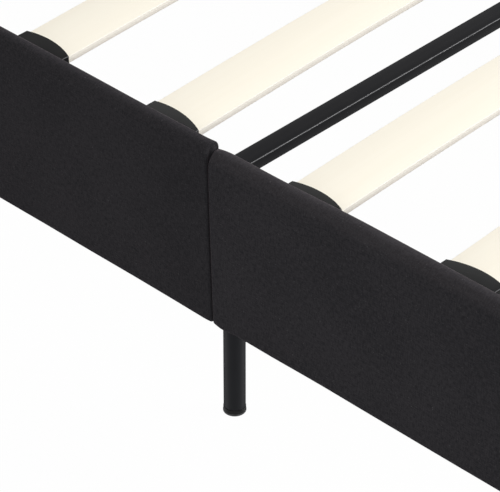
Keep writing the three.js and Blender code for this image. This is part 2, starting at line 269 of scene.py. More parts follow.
# Cuts one solid from another and keeps the result as plain mesh data.
def cutAway(obj, cutter):
    tool = newObject("cutter", cutter, obj.data.materials[0])
    setAll(obj.modifiers.new("cut", "BOOLEAN"), object=tool, operation="DIFFERENCE", solver="EXACT")
    bpy.context.view_layer.update()
    made = bpy.data.meshes.new_from_object(obj.evaluated_get(bpy.context.evaluated_depsgraph_get()))
    obj.modifiers.clear()
    obj.data = made
    bpy.data.objects.remove(tool)
    shadeSoftly(made)


# A colour written as it shows on a screen, as the linear one that a shader wants.
def linear(r, g, b):
    c = np.array((r, g, b), float)
    return (*np.where(c <= 0.04045, c / 12.92, ((c + 0.055) / 1.055) ** 2.4), 1.0)


# Feeds a node's input from another socket, or sets it to a plain value.
def feed(tree, target, value):
    if isinstance(value, bpy.types.NodeSocket):
        tree.links.new(value, target)
    else:
        target.default_value = value


# A new node with its inputs fed, by name or number. Gives its outputs.
def wired(tree, kind, inputs, **values):
    node = setAll(tree.nodes.new(kind), **values)
    for key, value in inputs.items():
        feed(tree, node.inputs[key], value)
    return node.outputs


def mathNode(tree, operation, *values, clamp=False):
    return wired(tree, "ShaderNodeMath", dict(enumerate(values)), operation=operation, use_clamp=clamp)[0]


def times(tree, a, b):
    return mathNode(tree, "MULTIPLY", a, b)


def plus(tree, a, b, clamp=False):
    return mathNode(tree, "ADD", a, b, clamp=clamp)


# a times b, plus c
def timesPlus(tree, a, b, c):
    return mathNode(tree, "MULTIPLY_ADD", a, b, c)


def vectorMath(tree, operation, a, b):
    second = "Scale" if operation == "SCALE" else 1
    return wired(tree, "ShaderNodeVectorMath", {0: a, second: b}, operation=operation)[0]


def mapRange(tree, value, fromLow, fromHigh, toLow=0.0, toHigh=1.0):
    return wired(tree, "ShaderNodeMapRange", dict(enumerate((value, fromLow, fromHigh, toLow, toHigh))))[0]


def mixValue(tree, factor, a, b):
    return wired(tree, "ShaderNodeMix", {0: factor, 2: a, 3: b}, data_type="FLOAT")[0]


def mixColour(tree, factor, a, b):
    return wired(tree, "ShaderNodeMix", {0: factor, 6: a, 7: b}, data_type="RGBA")[2]


def noise(tree, vector, scale, detail=2.0, roughness=0.5):
    inputs = {"Vector": vector, "Scale": scale, "Detail": detail, "Roughness": roughness}
    return wired(tree, "ShaderNodeTexNoise", inputs)["Fac"]


# Spots of one size per metre of the map.
def cells(tree, vector, scale):
    return wired(tree, "ShaderNodeTexVoronoi", {"Vector": vector, "Scale": scale})


def stretched(tree, vector, scale):
    return wired(tree, "ShaderNodeMapping", {"Vector": vector, "Scale": scale})[0]


# Noise whose scale differs along the map's axes.
def streakNoise(tree, vector, scale, detail, roughness):
    return noise(tree, stretched(tree, vector, scale), 1.0, detail, roughness)


def splitAxes(tree, vector):
    return wired(tree, "ShaderNodeSeparateXYZ", {0: vector})


# How far the surface faces up, from -1 to 1.
def upwards(tree):
    return splitAxes(tree, wired(tree, "ShaderNodeNewGeometry", {})["Normal"])[2]


# How far the surface is seen edge on, from 0 to 1.
def edgeOn(tree):
    return wired(tree, "ShaderNodeLayerWeight", {})["Facing"]


def pointValue(tree, name):
    return wired(tree, "ShaderNodeAttribute", {}, attribute_name=name)["Fac"]


# One for the rays that show a surface to the camera, straight or by way of metal or glass.
def showingRays(tree):
    rays = wired(tree, "ShaderNodeLightPath", {})
    indirect = plus(tree, rays["Is Glossy Ray"], rays["Is Transmission Ray"])
    return plus(tree, rays["Is Camera Ray"], indirect, clamp=True)


# A group of nodes with number outputs. An input without a value is a vector.
def newGroup(name, inputs, outputs):
    group = bpy.data.node_groups.new(name, "ShaderNodeTree")
    for label, value in inputs.items():
        kind = "NodeSocketVector" if value is None else "NodeSocketFloat"
        socket = group.interface.new_socket(label, in_out="INPUT", socket_type=kind)
        if value is not None:
            socket.default_value = value
    for label in outputs:
        group.interface.new_socket(label, in_out="OUTPUT", socket_type="NodeSocketFloat")
    return group, group.nodes.new("NodeGroupInput").outputs, group.nodes.new("NodeGroupOutput").inputs


def useGroup(tree, group, **values):
    return wired(tree, "ShaderNodeGroup", values, node_tree=group)


def newMaterial(name, **shader):
    material = bpy.data.materials.new(name)
    material.use_nodes = True
    tree = material.node_tree
    surface = tree.nodes["Principled BSDF"].inputs
    for label, value in shader.items():
        surface[label.replace("_", " ")].default_value = value
    return material, tree, surface, wired(tree, "ShaderNodeTexCoord", {})


# Gives a material its colour, and a fine relief from a height.
def finishWith(tree, surface, colour, height, strength, distance):
    inputs = {"Height": height, "Strength": strength, "Distance": distance}
    feed(tree, surface["Base Color"], colour)
    feed(tree, surface["Normal"], wired(tree, "ShaderNodeBump", inputs)[0])


# Woven cloth on a map in metres. Warp and weft are rows of half-round threads that pass over
# and under each other by turns: the one on top is chosen by the sign of the product of the two
# sines. Slow noise along each thread varies its tone and its thickness, as slubs do.
def makeWeaveGroup():
    tree, given, result = newGroup("weave", {"Map": None, "Threads": 1250.0, "Waver": 0.00025},
                                   ("Height", "Tone", "Fleck"))
    drift = wired(tree, "ShaderNodeTexNoise", {"Vector": given["Map"], "Scale": 90})["Color"]
    centred = vectorMath(tree, "SUBTRACT", drift, (0.5, 0.5, 0.5))
    wavered = vectorMath(tree, "ADD", given["Map"], vectorMath(tree, "SCALE", centred, given["Waver"]))
    halfTurns = times(tree, given["Threads"], math.pi)
    u, v = (mathNode(tree, "SINE", times(tree, axis, halfTurns)) for axis in splitAxes(tree, wavered)[:2])
    over = mathNode(tree, "GREATER_THAN", times(tree, u, v), 0.0)
    warp, weft = (mathNode(tree, "ABSOLUTE", wave) for wave in (u, v))
    warpTop = times(tree, warp, timesPlus(tree, weft, 0.6, 0.4))
    weftTop = times(tree, weft, timesPlus(tree, warp, 0.6, 0.4))
    height = mixValue(tree, over, weftTop, warpTop)
    slubs = (streakNoise(tree, wavered, scale, 2.0, 0.6) for scale in ((60, 1100, 1), (1100, 60, 1)))
    tone = mixValue(tree, over, *slubs)
    feed(tree, result["Height"], times(tree, height, mapRange(tree, tone, 0.2, 0.8, 0.7, 1.25)))
    feed(tree, result["Tone"], tone)
    flecks = streakNoise(tree, given["Map"], (480, 420, 1), 2.0, 0.7)
    feed(tree, result["Fleck"], mapRange(tree, flecks, 0.63, 0.75))
    return tree


# Fine pebbled relief of a sprayed or moulded surface: two noises, one about four times coarser.
def makePebbleGroup():
    tree, given, result = newGroup("pebble", {"Place": None, "Grains": 900.0}, ("Height", "Patch"))
    fine = noise(tree, given["Place"], given["Grains"], 1.0)
    coarse = noise(tree, given["Place"], times(tree, given["Grains"], 0.25), 2.0)
    feed(tree, result["Height"], timesPlus(tree, coarse, 0.5, fine))
    feed(tree, result["Patch"], noise(tree, given["Place"], 14.0, 3.0, 0.6))
    return tree


# Dust that lies where a surface faces up, broken up by noise.
def makeDustGroup():
    tree, given, result = newGroup("dust", {"Place": None, "Amount": 0.1}, ("Mask",))
    facing = mapRange(tree, upwards(tree), 0.3, 1.0)
    spots = mapRange(tree, noise(tree, given["Place"], 45.0, 5.0, 0.65), 0.4, 0.75)
    feed(tree, result["Mask"], times(tree, times(tree, facing, spots), given["Amount"]))
    return tree


# Long fine grain along the map's first axis, with slower bands across it.
def makeGrainGroup():
    tree, given, result = newGroup("grain", {"Map": None, "Shift": 0.0}, ("Streak", "Band"))
    shifted = vectorMath(tree, "ADD", given["Map"], given["Shift"])
    feed(tree, result["Streak"], streakNoise(tree, shifted, (9, 1400, 1), 4.0, 0.6))
    feed(tree, result["Band"], streakNoise(tree, shifted, (1.6, 55, 1), 3.0, 0.5))
    return tree


weave, pebble, dust, grain = makeWeaveGroup(), makePebbleGroup(), makeDustGroup(), makeGrainGroup()

# paintedLightColour and paintedSheen give the colour of the painted sheen and painted top light, and how
# strong the sheen is
clothLook = {
    "dark": linear(0.155, 0.153, 0.165), "light": linear(0.222, 0.216, 0.228), "toneRange": (1.22, 1.58),
    "fleck": linear(0.4, 0.39, 0.4), "paintedLightColour": linear(0.52, 0.49, 0.5), "deep": linear(0.06, 0.058, 0.064),
    "roughness": 0.92, "sheen": 0.1, "sheenTint": linear(0.98, 0.88, 0.93), "threads": 1250.0,
    "gaps": 0.45, "pits": 0.95, "flecks": 0.9, "paintedSheen": 0.55, "shade": 0.7, "relief": 0.35 * mm,
}


# The weave sets the small pattern. Streaks some millimetres long along both thread directions and
# slow clouds vary its tone, and sparse pale flecks lie on it.
def makeCloth():
    look = clothLook
    material, tree, surface, coords = newMaterial(
        "charcoalCloth", Roughness=look["roughness"], Sheen_Weight=look["sheen"],
        Sheen_Roughness=0.2, Sheen_Tint=look["sheenTint"], Specular_IOR_Level=0.08)
    flat = coords["UV"]
    woven = useGroup(tree, weave, Map=flat, Threads=look["threads"])
    upright, level = (streakNoise(tree, flat, scale, 2.0, 0.6) for scale in ((620, 150, 1), (150, 620, 1)))
    cloudy = noise(tree, coords["Object"], 9.0, 3.0, 0.55)
    streaks = plus(tree, upright, level)
    tone = timesPlus(tree, cloudy, 0.35, timesPlus(tree, woven["Tone"], 0.5, streaks))
    base = mixColour(tree, mapRange(tree, tone, *look["toneRange"]), look["dark"], look["light"])
    gaps = mapRange(tree, woven["Height"], 0.0, 0.5, look["gaps"], 0.0)
    shaded = mixColour(tree, gaps, base, look["deep"])
    # specks of dark and pale yarn come in patches
    patches = mapRange(tree, noise(tree, flat, 70.0), 0.42, 0.62, 0.15, 1.0)
    pits = mapRange(tree, streakNoise(tree, flat, (420, 480, 1), 2.0, 0.7), 0.36, 0.26, 0.0, look["pits"])
    pitted = mixColour(tree, times(tree, pits, patches), shaded, look["deep"])
    flecks = times(tree, woven["Fleck"], times(tree, patches, look["flecks"]))
    specked = mixColour(tree, flecks, pitted, look["fleck"])
    # painted sheen: the colour is paler where the cloth is seen edge on from above, broken up by streaks
    up = upwards(tree)
    grazingSheen = times(tree, mapRange(tree, edgeOn(tree), 0.55, 0.95, 0.0, look["paintedSheen"]),
                   mapRange(tree, up, 0.1, 0.6))
    sheenStreaks = mapRange(tree, upright, 0.35, 0.65, 0.35, 1.0)
    # painted light: each cover's upward-facing upper rim is made paler by its own amount
    paintedTopLight = times(tree, mapRange(tree, up, 0.02, 0.6), pointValue(tree, "paintedTopLight"))
    paler = plus(tree, paintedTopLight, times(tree, grazingSheen, sheenStreaks), clamp=True)
    paintedSheen = mixColour(tree, paler, specked, look["paintedLightColour"])
    # painted shade darkens the underside, and darkens each cover by its own amount
    under = mapRange(tree, up, -0.15, -0.75, 0.0, look["shade"])
    deepened = plus(tree, under, pointValue(tree, "paintedShade"), clamp=True)
    relief = timesPlus(tree, streaks, 0.5, woven["Height"])
    finishWith(tree, surface, mixColour(tree, deepened, paintedSheen, look["deep"]), relief, 0.6, look["relief"])
    return material


# Pressed felt: small dimples in a grid of cells, and fibres that vary tone and height.
def makeLining():
    material, tree, surface, coords = newMaterial("liningFelt", Roughness=0.95, Sheen_Weight=0.15)
    dimples = mapRange(tree, cells(tree, coords["UV"], 620)["Distance"], 0.1, 0.4)
    fibres = noise(tree, coords["UV"], 900.0, 4.0, 0.7)
    base = mixColour(tree, fibres, linear(0.07, 0.07, 0.075), linear(0.13, 0.13, 0.135))
    finishWith(tree, surface, base, plus(tree, dimples, fibres), 0.4, 0.2 * mm)
    return material


# paintedHighlight is the colour of the painted highlight on marked ridges
coatLook = {
    "dust": linear(0.42, 0.41, 0.39), "paintedHighlight": linear(0.4, 0.4, 0.405), "patchGain": 1.12,
    "edgeRoughness": 0.9, "dustRoughness": 0.4, "reliefDepth": 0.1 * mm,
}


# A sprayed or moulded coat: pebbled relief, a little dust on top, slow drift of the gloss.
def makeCoating(name, colour, roughness, grains, relief, dustAmount, **shader):
    look = coatLook
    material, tree, surface, coords = newMaterial(name, **shader)
    fine = useGroup(tree, pebble, Place=coords["Object"], Grains=grains)
    lying = useGroup(tree, dust, Place=coords["Object"], Amount=dustAmount)["Mask"]
    paler = (*(min(1.0, look["patchGain"] * c) for c in colour[:3]), 1.0)
    base = mixColour(tree, mapRange(tree, fine["Patch"], 0.3, 0.7), colour, paler)
    dusted = mixColour(tree, lying, base, look["dust"])
    # painted highlight: the colour is paler on the ridges whose points carry a painted highlight value
    coloured = mixColour(tree, pointValue(tree, "paintedHighlight"), dusted, look["paintedHighlight"])
    finishWith(tree, surface, coloured, fine["Height"], relief, look["reliefDepth"])
    # it scatters more where it is seen edge on, and where dust lies
    spread = mapRange(tree, edgeOn(tree), 0.45, 0.95, 0.0, look["edgeRoughness"] - roughness)
    drift = mapRange(tree, fine["Patch"], 0.2, 0.8, roughness - 0.04, roughness + 0.05)
    dustSpread = times(tree, lying, look["dustRoughness"])
    feed(tree, surface["Roughness"], plus(tree, plus(tree, spread, drift), dustSpread))
    return material


slatLook = {
    "cream": linear(0.985, 0.962, 0.903), "deep": linear(0.965, 0.932, 0.862), "roughness": 0.5,
    "plyLight": linear(0.985, 0.968, 0.93), "plyDark": linear(0.91, 0.87, 0.815), "plies": 7,
    "arris": linear(0.78, 0.74, 0.7), "arrisShade": 0.44, "glueLine": 0.35,
}


# Pale veneer: faint streaks and bands along the slat over a cream stain.
def makeVeneer():
    material, tree, surface, coords = newMaterial(
        "creamVeneer", Roughness=slatLook["roughness"], Specular_IOR_Level=0.35)
    lines = useGroup(tree, grain, Map=coords["UV"], Shift=pointValue(tree, "tone"))
    streaks = times(tree, mapRange(tree, lines["Streak"], 0.45, 0.7), 0.2)
    depth = timesPlus(tree, mapRange(tree, lines["Band"], 0.35, 0.7), 0.26, streaks)
    stain = mixColour(tree, depth, slatLook["cream"], slatLook["deep"])
    finishWith(tree, surface, stain, lines["Streak"], 0.12, 0.15 * mm)
    return material


# Edge of a laminate: the map's second axis runs from 0 to 1 through the plies. Every other ply
# shows its darker end grain, a glue line lies between two plies, and painted shade darkens the
# edge more and more towards its lower arris.
def makePlyEdge():
    look = slatLook
    material, tree, surface, coords = newMaterial("plyEdge", Roughness=0.72, Specular_IOR_Level=0.3)
    level = splitAxes(tree, coords["UV"])[1]
    ply = mathNode(tree, "FRACT", times(tree, level, look["plies"] / 2))
    cross = mathNode(tree, "GREATER_THAN", ply, 0.5)
    fibres = streakNoise(tree, coords["UV"], (160, 14, 1), 4.0, 0.65)
    grained = timesPlus(tree, cross, 0.22, times(tree, mapRange(tree, fibres, 0.35, 0.75), 0.3))
    fromGlue = mathNode(tree, "ABSOLUTE", mathNode(tree, "SUBTRACT", ply, 0.5))
    glue = mapRange(tree, fromGlue, 0.0, 0.06, look["glueLine"], 0.0)
    plies = mixColour(tree, plus(tree, grained, glue, clamp=True), look["plyLight"], look["plyDark"])
    # painted shade, deeper towards the lower arris
    arrisShaded = mapRange(tree, level, 0.0, 0.75, look["arrisShade"], 0.0)
    finishWith(tree, surface, mixColour(tree, arrisShaded, plies, look["arris"]), fibres, 0.3, 0.2 * mm)
    return material


# Chips of a raw board: flat cells in mixed browns under a fine noise.
def makeBoard():
    material, tree, surface, coords = newMaterial("particleBoard", Roughness=0.85)
    chips = cells(tree, stretched(tree, coords["Object"], (260, 260, 520)), 1.0)["Color"]
    fine = noise(tree, coords["Object"], 700.0, 4.0, 0.7)
    base = mixColour(tree, chips, linear(0.6, 0.46, 0.3), linear(0.82, 0.69, 0.5))
    finishWith(tree, surface, mixColour(tree, fine, base, linear(0.74, 0.6, 0.42)), fine, 0.3, 0.3 * mm)
    return material


cloth, lining = makeCloth(), makeLining()
# each coat: its colour, roughness, grains per metre, relief and dust, then the shader's own values
coatedSteel = makeCoating("satinBlackCoat", linear(0.1, 0.103, 0.116), 0.34, 1100.0, 0.1, 0.015,
                          Specular_IOR_Level=0.09)
glossSteel = makeCoating("glossBlackCoat", linear(0.035, 0.035, 0.05), 0.14, 1100.0, 0.05, 0.01,
                         Specular_IOR_Level=0.08)
# a darker, less glossy copy of the black plastic for one cap: painted shade
dullShadedPlastic = makeCoating("dullShadedBlackPlastic", linear(0.04, 0.038, 0.042), 0.3, 1500.0, 0.12, 0.008,
                          Specular_IOR_Level=0.06)
plastic = makeCoating("blackPlastic", linear(0.05, 0.052, 0.052), 0.26, 1500.0, 0.12, 0.008,
                      Specular_IOR_Level=0.12)
zinc = makeCoating("blackZinc", linear(0.3, 0.3, 0.31), 0.34, 1500.0, 0.08, 0.02, Metallic=0.85)
wire = makeCoating("stapleWire", linear(0.62, 0.62, 0.63), 0.3, 2000.0, 0.05, 0.0, Metallic=0.95)
veneer, plyEdge, board = makeVeneer(), makePlyEdge(), makeBoard()
print("materials made")


panelShape = {
    "radius": {"top": 12 * mm, "softTop": 16 * mm, "bottom": 3.5 * mm, "depth": 15 * mm, "back": 2 * mm,
               "end": 3.5 * mm},
    "frontDepth": 5.2 * mm, "cell": 8 * mm, "crown": 0.7 * mm, "crownReach": 40 * mm, "topCrown": 1.2 * mm,
    "ripple": 0.22 * mm, "waves": 9, "topGrowth": 1.1 * mm, "bottomGrowth": 1.8 * mm,
    "gather": 0.08 * mm, "gatherPlace": 9 * mm, "gatherReach": 7 * mm,
    "wrap": 27 * mm, "wrapStep": 0.8 * mm, "wrapSlope": 2.5 * mm, "foldSize": 17 * mm, "foldStep": 0.9 * mm,
    "flapEnd": 1.5 * mm, "flapFront": (2.5 * mm, 2 * mm), "foldSlant": 0.9, "foldFade": 4 * mm,
    "foldEdge": 1.1 * mm, "gatherWaves": (148, 31), "frontRise": (0.86, 0.12),
    "boardInset": 5.0 * mm, "boardBack": 2.0 * mm, "boardRadius": 0.6 * mm, "boardCell": 30 * mm,
    "fill": 0.95,
}
# Two wrapped boards meet at the seam, and neither is quite square there. A pair is where a ramp
# starts and how far it goes on: shares of the height in the ones named Part, and mm below the top
# in bulgeTop and bulgeLow.
seamShape = {
    "shift": 2.45 * mm, "lean": 7.0 * mm, "reach": 70 * mm, "close": 0.4 * mm,
    "droop": 3.7 * mm, "droopReach": 22 * mm, "slope": 3.4 * mm, "slopeRamp": (70 * mm, 150 * mm),
    "rise": 0.75 * mm, "risePlace": 165 * mm, "riseReach": 75 * mm, "drop": 1.0 * mm, "dropReach": 60 * mm,
    "dip": 0.6 * mm, "dipPlace": 130 * mm, "dipReach": 60 * mm,
    "sag": 3.2 * mm, "sagPlace": 16 * mm, "sagReach": 9 * mm,
    "raise": 1.2 * mm, "cornerRise": 1.6 * mm, "cornerReach": 9 * mm,
    "lowPart": (0.3, -0.25), "fallPart": (0.55, 0.42), "raisePart": (0.88, 0.1), "cornerPart": (0.12, -0.1),
    "dipPart": (0.7, 0.25), "leanPower": 0.8, "droopPower": 1.5,
    "bulge": 4.2 * mm, "bulgeEnd": 4 * mm, "bulgeFront": (6 * mm, 5 * mm),
    "bulgeTop": (-2.6, 8), "bulgeLow": (15, -7),
}
# The simulated give of the cloth over its thin foam.
clothMove = {
    "frames": 20, "pressure": 1.0, "mass": 0.3, "tension": 15.0, "bending": 0.5, "quality": 4,
    "limit": 2.2 * mm, "heldEdge": 8 * mm, "freeReach": 30 * mm, "holdLevels": 10,
}
# How far painted light makes each cover's upper rim paler, and how far painted shade makes the cover
# darker.
coverLook = {"paintedTopLight": {"soft": 0.07, "other": 0.025}, "paintedShade": {"soft": 0.0, "other": 0.13}}


# 3x^2 - 2x^3 between 0 and 1
def smoothStep(x):
    x = np.clip(x, 0, 1)
    return x * x * (3 - 2 * x)


# A smooth step from 0 at the start to 1 past the reach, which is negative where the step falls.
def ramp(x, start, reach):
    return smoothStep((x - start) / reach)


# exp(-(distance / reach)^2)
def hump(distance, reach):
    return np.exp(-(distance / reach) ** 2)


# Grid places joined end to end, each pair once.
def joinedPlaces(*runs):
    return np.unique(np.concatenate(runs).round(7))


# Grid places along one edge of a block: fine steps across both roundings, even cells between.
def spacing(length, startFine, endFine, cell, fineSteps=5):
    count = max(2, round((length - startFine - endFine) / cell))
    return joinedPlaces(np.linspace(0, startFine, fineSteps + 1),
                        np.linspace(startFine, length - endFine, count + 1),
                        np.linspace(length - endFine, length, fineSteps + 1))


# The six faces of a block as one welded skin of quads that face outwards, and for each quad the
# side it lies on: 0 and 1 are the low and high end of the first axis, 2 and 3 of the second, and so on.
def blockSkin(grids):
    points, quads, sides, count = [], [], [], 0
    for axis in range(3):
        along, across = grids[(axis + 1) % 3], grids[(axis + 2) % 3]
        b, c = np.meshgrid(along, across, indexing="ij")
        for end in (0, 1):
            p = np.empty((b.size, 3))
            p[:, axis] = grids[axis][-1 if end else 0]
            p[:, (axis + 1) % 3] = b.ravel()
            p[:, (axis + 2) % 3] = c.ravel()
            q = gridQuads(len(along), len(across))
            points.append(p)
            quads.append((q[:, ::-1] if end else q) + count)
            sides.append(np.full(len(q), 2 * axis + end))
            count += b.size
    points = np.concatenate(points)
    _, first, welded = np.unique((points / 1e-6).round().astype(np.int64), axis=0,
                                 return_index=True, return_inverse=True)
    return points[first], welded.reshape(-1)[np.concatenate(quads)], np.concatenate(sides)


# Each corner point of a quad on a flat map in metres that runs on round the block's edges:
# the front as it is, and the rims and ends unfolded from the front's edges.
def unfolded(points, quads, sides, size):
    u, v, w = np.moveaxis(points[quads], -1, 0)
    side = sides[:, None]
    mapU = np.select([side == 0, side == 1], [-v, size[0] + v], u)
    mapV = np.select([side == 4, side == 5], [-v, size[2] + v], w)
    return np.stack((mapU, mapV), -1).reshape(-1, 2)


# Rounds a block's skin: each point splits into a core point and an offset, and the offset, as a
# share of each axis's own radius, is brought to length one.
def rounded(skin, size, low, high):
    low, high = np.broadcast_to(low, skin.shape), np.broadcast_to(high, skin.shape)
    core = np.minimum(np.maximum(skin, low), size - high)
    out = skin - core
    radius = np.where(out < 0, low, high)
    share = out / np.maximum(radius, 1e-9)
    far = np.linalg.norm(share, axis=1)
    return core + radius * share / np.maximum(far, 1e-9)[:, None]


# How far the end of a panel or its board moves at the seam: u away from the seam, w up.
def seamMove(u, w, height, seamEnd):
    look = seamShape
    move = np.zeros((len(u), 3))
    if not seamEnd:
        return move
    top, past = w / height, np.maximum(u, 0)
    low, near = ramp(top, *look["lowPart"]), hump(past, look["reach"])
    shift = look["shift"] + look["lean"] * np.clip(top, 0, 1) ** look["leanPower"]
    if seamEnd == "soft":
        move[:, 0] = -(shift + look["close"]) * near
        fall = look["droop"] * np.clip(1 - past / look["droopReach"], 0, 1) ** look["droopPower"]
        fall += look["slope"] * (1 - ramp(u, *look["slopeRamp"]))
        move[:, 2] -= fall * ramp(top, *look["fallPart"])
        move[:, 2] += (look["rise"] * hump(u - look["risePlace"], look["riseReach"])
                       - look["sag"] * hump(u - look["sagPlace"], look["sagReach"])) * low
    else:
        move[:, 0] = (shift - look["close"]) * near
        move[:, 2] += look["raise"] * hump(past, look["cornerReach"]) * ramp(top, *look["raisePart"])
        rise = np.clip(1 - past / look["cornerReach"], 0, 1) ** 2
        move[:, 2] += look["cornerRise"] * rise * ramp(top, *look["cornerPart"])
        move[:, 2] -= look["drop"] * hump(u, look["dropReach"]) * low
        dip = look["dip"] * hump(u - look["dipPlace"], look["dipReach"])
        move[:, 2] -= dip * ramp(top, *look["dipPart"])
    return move


# Slow ripples of a panel's front: the mean of some products of two sines with chance
# wavelengths and places.
def ripples(u, w, seed):
    rng, count = np.random.default_rng(seed), panelShape["waves"]
    wave = np.zeros(len(u))
    for _ in range(count):
        kx, kz = rng.uniform(8, 60), rng.uniform(8, 50)
        wave += np.sin(kx * u + rng.uniform(0, 6.28)) * np.sin(kz * w + rng.uniform(0, 6.28)) / count
    return wave


# A wrapped board. u runs along it from the seam, v from its outer face to its back, w up.
def panelSurface(size, seamEnd, seed):
    look, radius = panelShape, panelShape["radius"]
    length, depth, height = size
    fine, inBack = radius["depth"], depth - radius["back"]
    topRadius = radius["softTop" if seamEnd == "soft" else "top"]
    skin, quads, sides = blockSkin((
        spacing(length, radius["end"], radius["end"], look["cell"], 4),
        joinedPlaces(np.linspace(0, fine, 9), np.linspace(fine, inBack, 3), np.linspace(inBack, depth, 4)),
        spacing(height, radius["bottom"], topRadius, look["cell"], 6)))
    flatMap = unfolded(skin, quads, sides, size)
    u, v, w = skin.T.copy()
    # the radii shrink from the front to the back, and the top is rounder than the bottom
    share, flat = ramp(v, fine, depth - fine - radius["back"]), radius["back"]
    ends, lower, upper = (r + (flat - r) * share for r in (radius["end"], radius["bottom"], topRadius))
    top = w / height
    front = look["frontDepth"] + (fine - look["frontDepth"]) * ramp(top, *look["frontRise"])
    p = rounded(skin, np.array(size), np.column_stack((ends, front, lower)),
                np.column_stack((ends, np.full(len(u), flat), upper)))
    edge = np.minimum.reduce((u, length - u, w, height - w))
    onFront = smoothStep(1 - v / fine)
    crown = look["crown"] * smoothStep(edge / look["crownReach"])
    p[:, 1] -= onFront * (crown + 3 * look["ripple"] * ripples(u, w, seed))
    # shallow gathers just inside the front's edges, where the cloth is pulled round the board
    quick, slow = look["gatherWaves"]
    pulls = np.sin(u * quick + 2 * np.sin(u * slow)) * hump(edge - look["gatherPlace"], look["gatherReach"])
    p[:, 1] -= onFront * look["gather"] * pulls
    # the rims are a little crowned between front and back
    rim = np.sin(np.pi * np.clip(v / depth, 0, 1))
    p[:, 2] += look["topCrown"] * rim * (smoothStep(1 - (height - w) / fine) - smoothStep(1 - w / fine))
    # the back: cloth wrapped over, and the lining one step deeper
    p[:, 1] -= ramp(v, inBack, flat) * look["wrapStep"] * ramp(edge, look["wrap"], look["wrapSlope"])
    # the cloth is folded like a parcel at each end: a flap lies diagonally over the next layer
    for fromEnd, sign in ((u, -1), (length - u, 1)):
        onEnd = smoothStep(1 - fromEnd / look["flapEnd"]) * ramp(v, *look["flapFront"])
        for fromEdge in (w, height - w):
            reach = look["foldSize"] + look["foldFade"] - fromEdge - v * look["foldSlant"]
            flap = smoothStep(reach / look["foldEdge"])
            lies = onEnd * (flap - 1) * look["foldStep"] * smoothStep(fromEdge / look["foldFade"])
            p[:, 0] += sign * lies
    if seamEnd == "square":
        seam, below = seamShape, (height - w) / mm
        atEnd = smoothStep(1 - u / seam["bulgeEnd"]) * ramp(v, *seam["bulgeFront"])
        p[:, 0] -= seam["bulge"] * atEnd * ramp(below, *seam["bulgeTop"]) * ramp(below, *seam["bulgeLow"])
    p += seamMove(u, w, height, seamEnd)
    # the padding makes the panel a little taller than its board
    p[:, 2] += (look["topGrowth"] * smoothStep((top - 0.5) * 2)
                - look["bottomGrowth"] * smoothStep(1 - 2 * top))
    lined = (sides == 3) & (np.min(edge[quads], axis=1) > look["wrap"])
    # how firmly the board holds each point: fully at the rims, ends and back, not inside the front
    hold = 1 - onFront * ramp(edge, clothMove["heldEdge"], clothMove["freeReach"])
    return p, quads, flatMap, lined, hold


# The board inside: the same block, smaller all round, with its own small bevels.
def boardSurface(size, seamEnd):
    look, inset = panelShape, panelShape["boardInset"]
    small = look["boardRadius"]
    inner = np.array(size) - np.array((2 * inset, inset + look["boardBack"], 2 * inset))
    skin, quads, _ = blockSkin([spacing(extent, small, small, look["boardCell"], 2) for extent in inner])
    p = rounded(skin, inner, small, small) + inset
    return p + seamMove(p[:, 0], p[:, 2], size[2], seamEnd), quads


# A panel's length, depth and height, from its node's box.
def panelSize(node, facing):
    lo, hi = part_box(node)
    x, y, z = hi - lo
    return (x, y, z) if facing[1] == "y" else (y, x, z)


# Carries local panel points to their place against a node's box, facing one way.
def placedPanel(p, node, facing):
    lo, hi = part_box(node)
    u, v, w = p.T
    x, y = {"-y": (lo.x + u, lo.y + v), "+y": (hi.x - u, hi.y - v),
            "+x": (hi.x - v, lo.y + u), "-x": (lo.x + v, hi.y - u)}[facing]
    return np.column_stack((x, y, lo.z + w))


def addPanel(name, facing, seamEnd, seed, mirrored=False):
    onSide = facing[1] == "y"
    cover, core = (f"rail_{kind}_{name}" if onSide else f"{name}_{kind}" for kind in ("cover", "board"))
    size = panelSize(cover, facing)
    p, quads, flatMap, lined, hold = panelSurface(size, seamEnd, seed)
    inner, innerQuads = boardSurface(size, seamEnd)
    if mirrored:
        p[:, 0], inner[:, 0] = size[0] - p[:, 0], size[0] - inner[:, 0]
        quads, innerQuads = quads[:, ::-1], innerQuads[:, ::-1]
        flatMap = flatMap.reshape(-1, 4, 2)[:, ::-1]
    obj = newObject(f"panel_{name}", (placedPanel(p, cover, facing), quads), [cloth, lining], 60)
    setMap(obj, flatMap)
    obj.data.polygons.foreach_set("material_index", lined.astype(np.int32))
    for key, look in coverLook.items():
        setPointValue(obj, key, look["soft" if seamEnd == "soft" else "other"])
    settle(obj, "frame", "upholstery", cover)
    inside = placedPanel(inner, cover, facing), innerQuads
    addPiece(f"panel_board_{name}", inside, board, "panel_board", core)
    return obj, hold


def addCloth(obj, hold):
    look, levels = clothMove, clothMove["holdLevels"]
    group = obj.vertex_groups.new(name="hold")
    for level in range(levels + 1):
        group.add(np.flatnonzero(np.round(hold * levels) == level).tolist(), level / levels, "REPLACE")
    mod = obj.modifiers.new("give", "CLOTH")
    setAll(mod.settings, quality=look["quality"], mass=look["mass"], tension_stiffness=look["tension"],
           compression_stiffness=look["tension"], bending_stiffness=look["bending"],
           vertex_group_mass="hold", use_pressure=True, uniform_pressure_force=look["pressure"])
    mod.settings.effector_weights.gravity = 0
    mod.collision_settings.use_collision = False
    setAll(mod.point_cache, frame_start=1, frame_end=look["frames"])


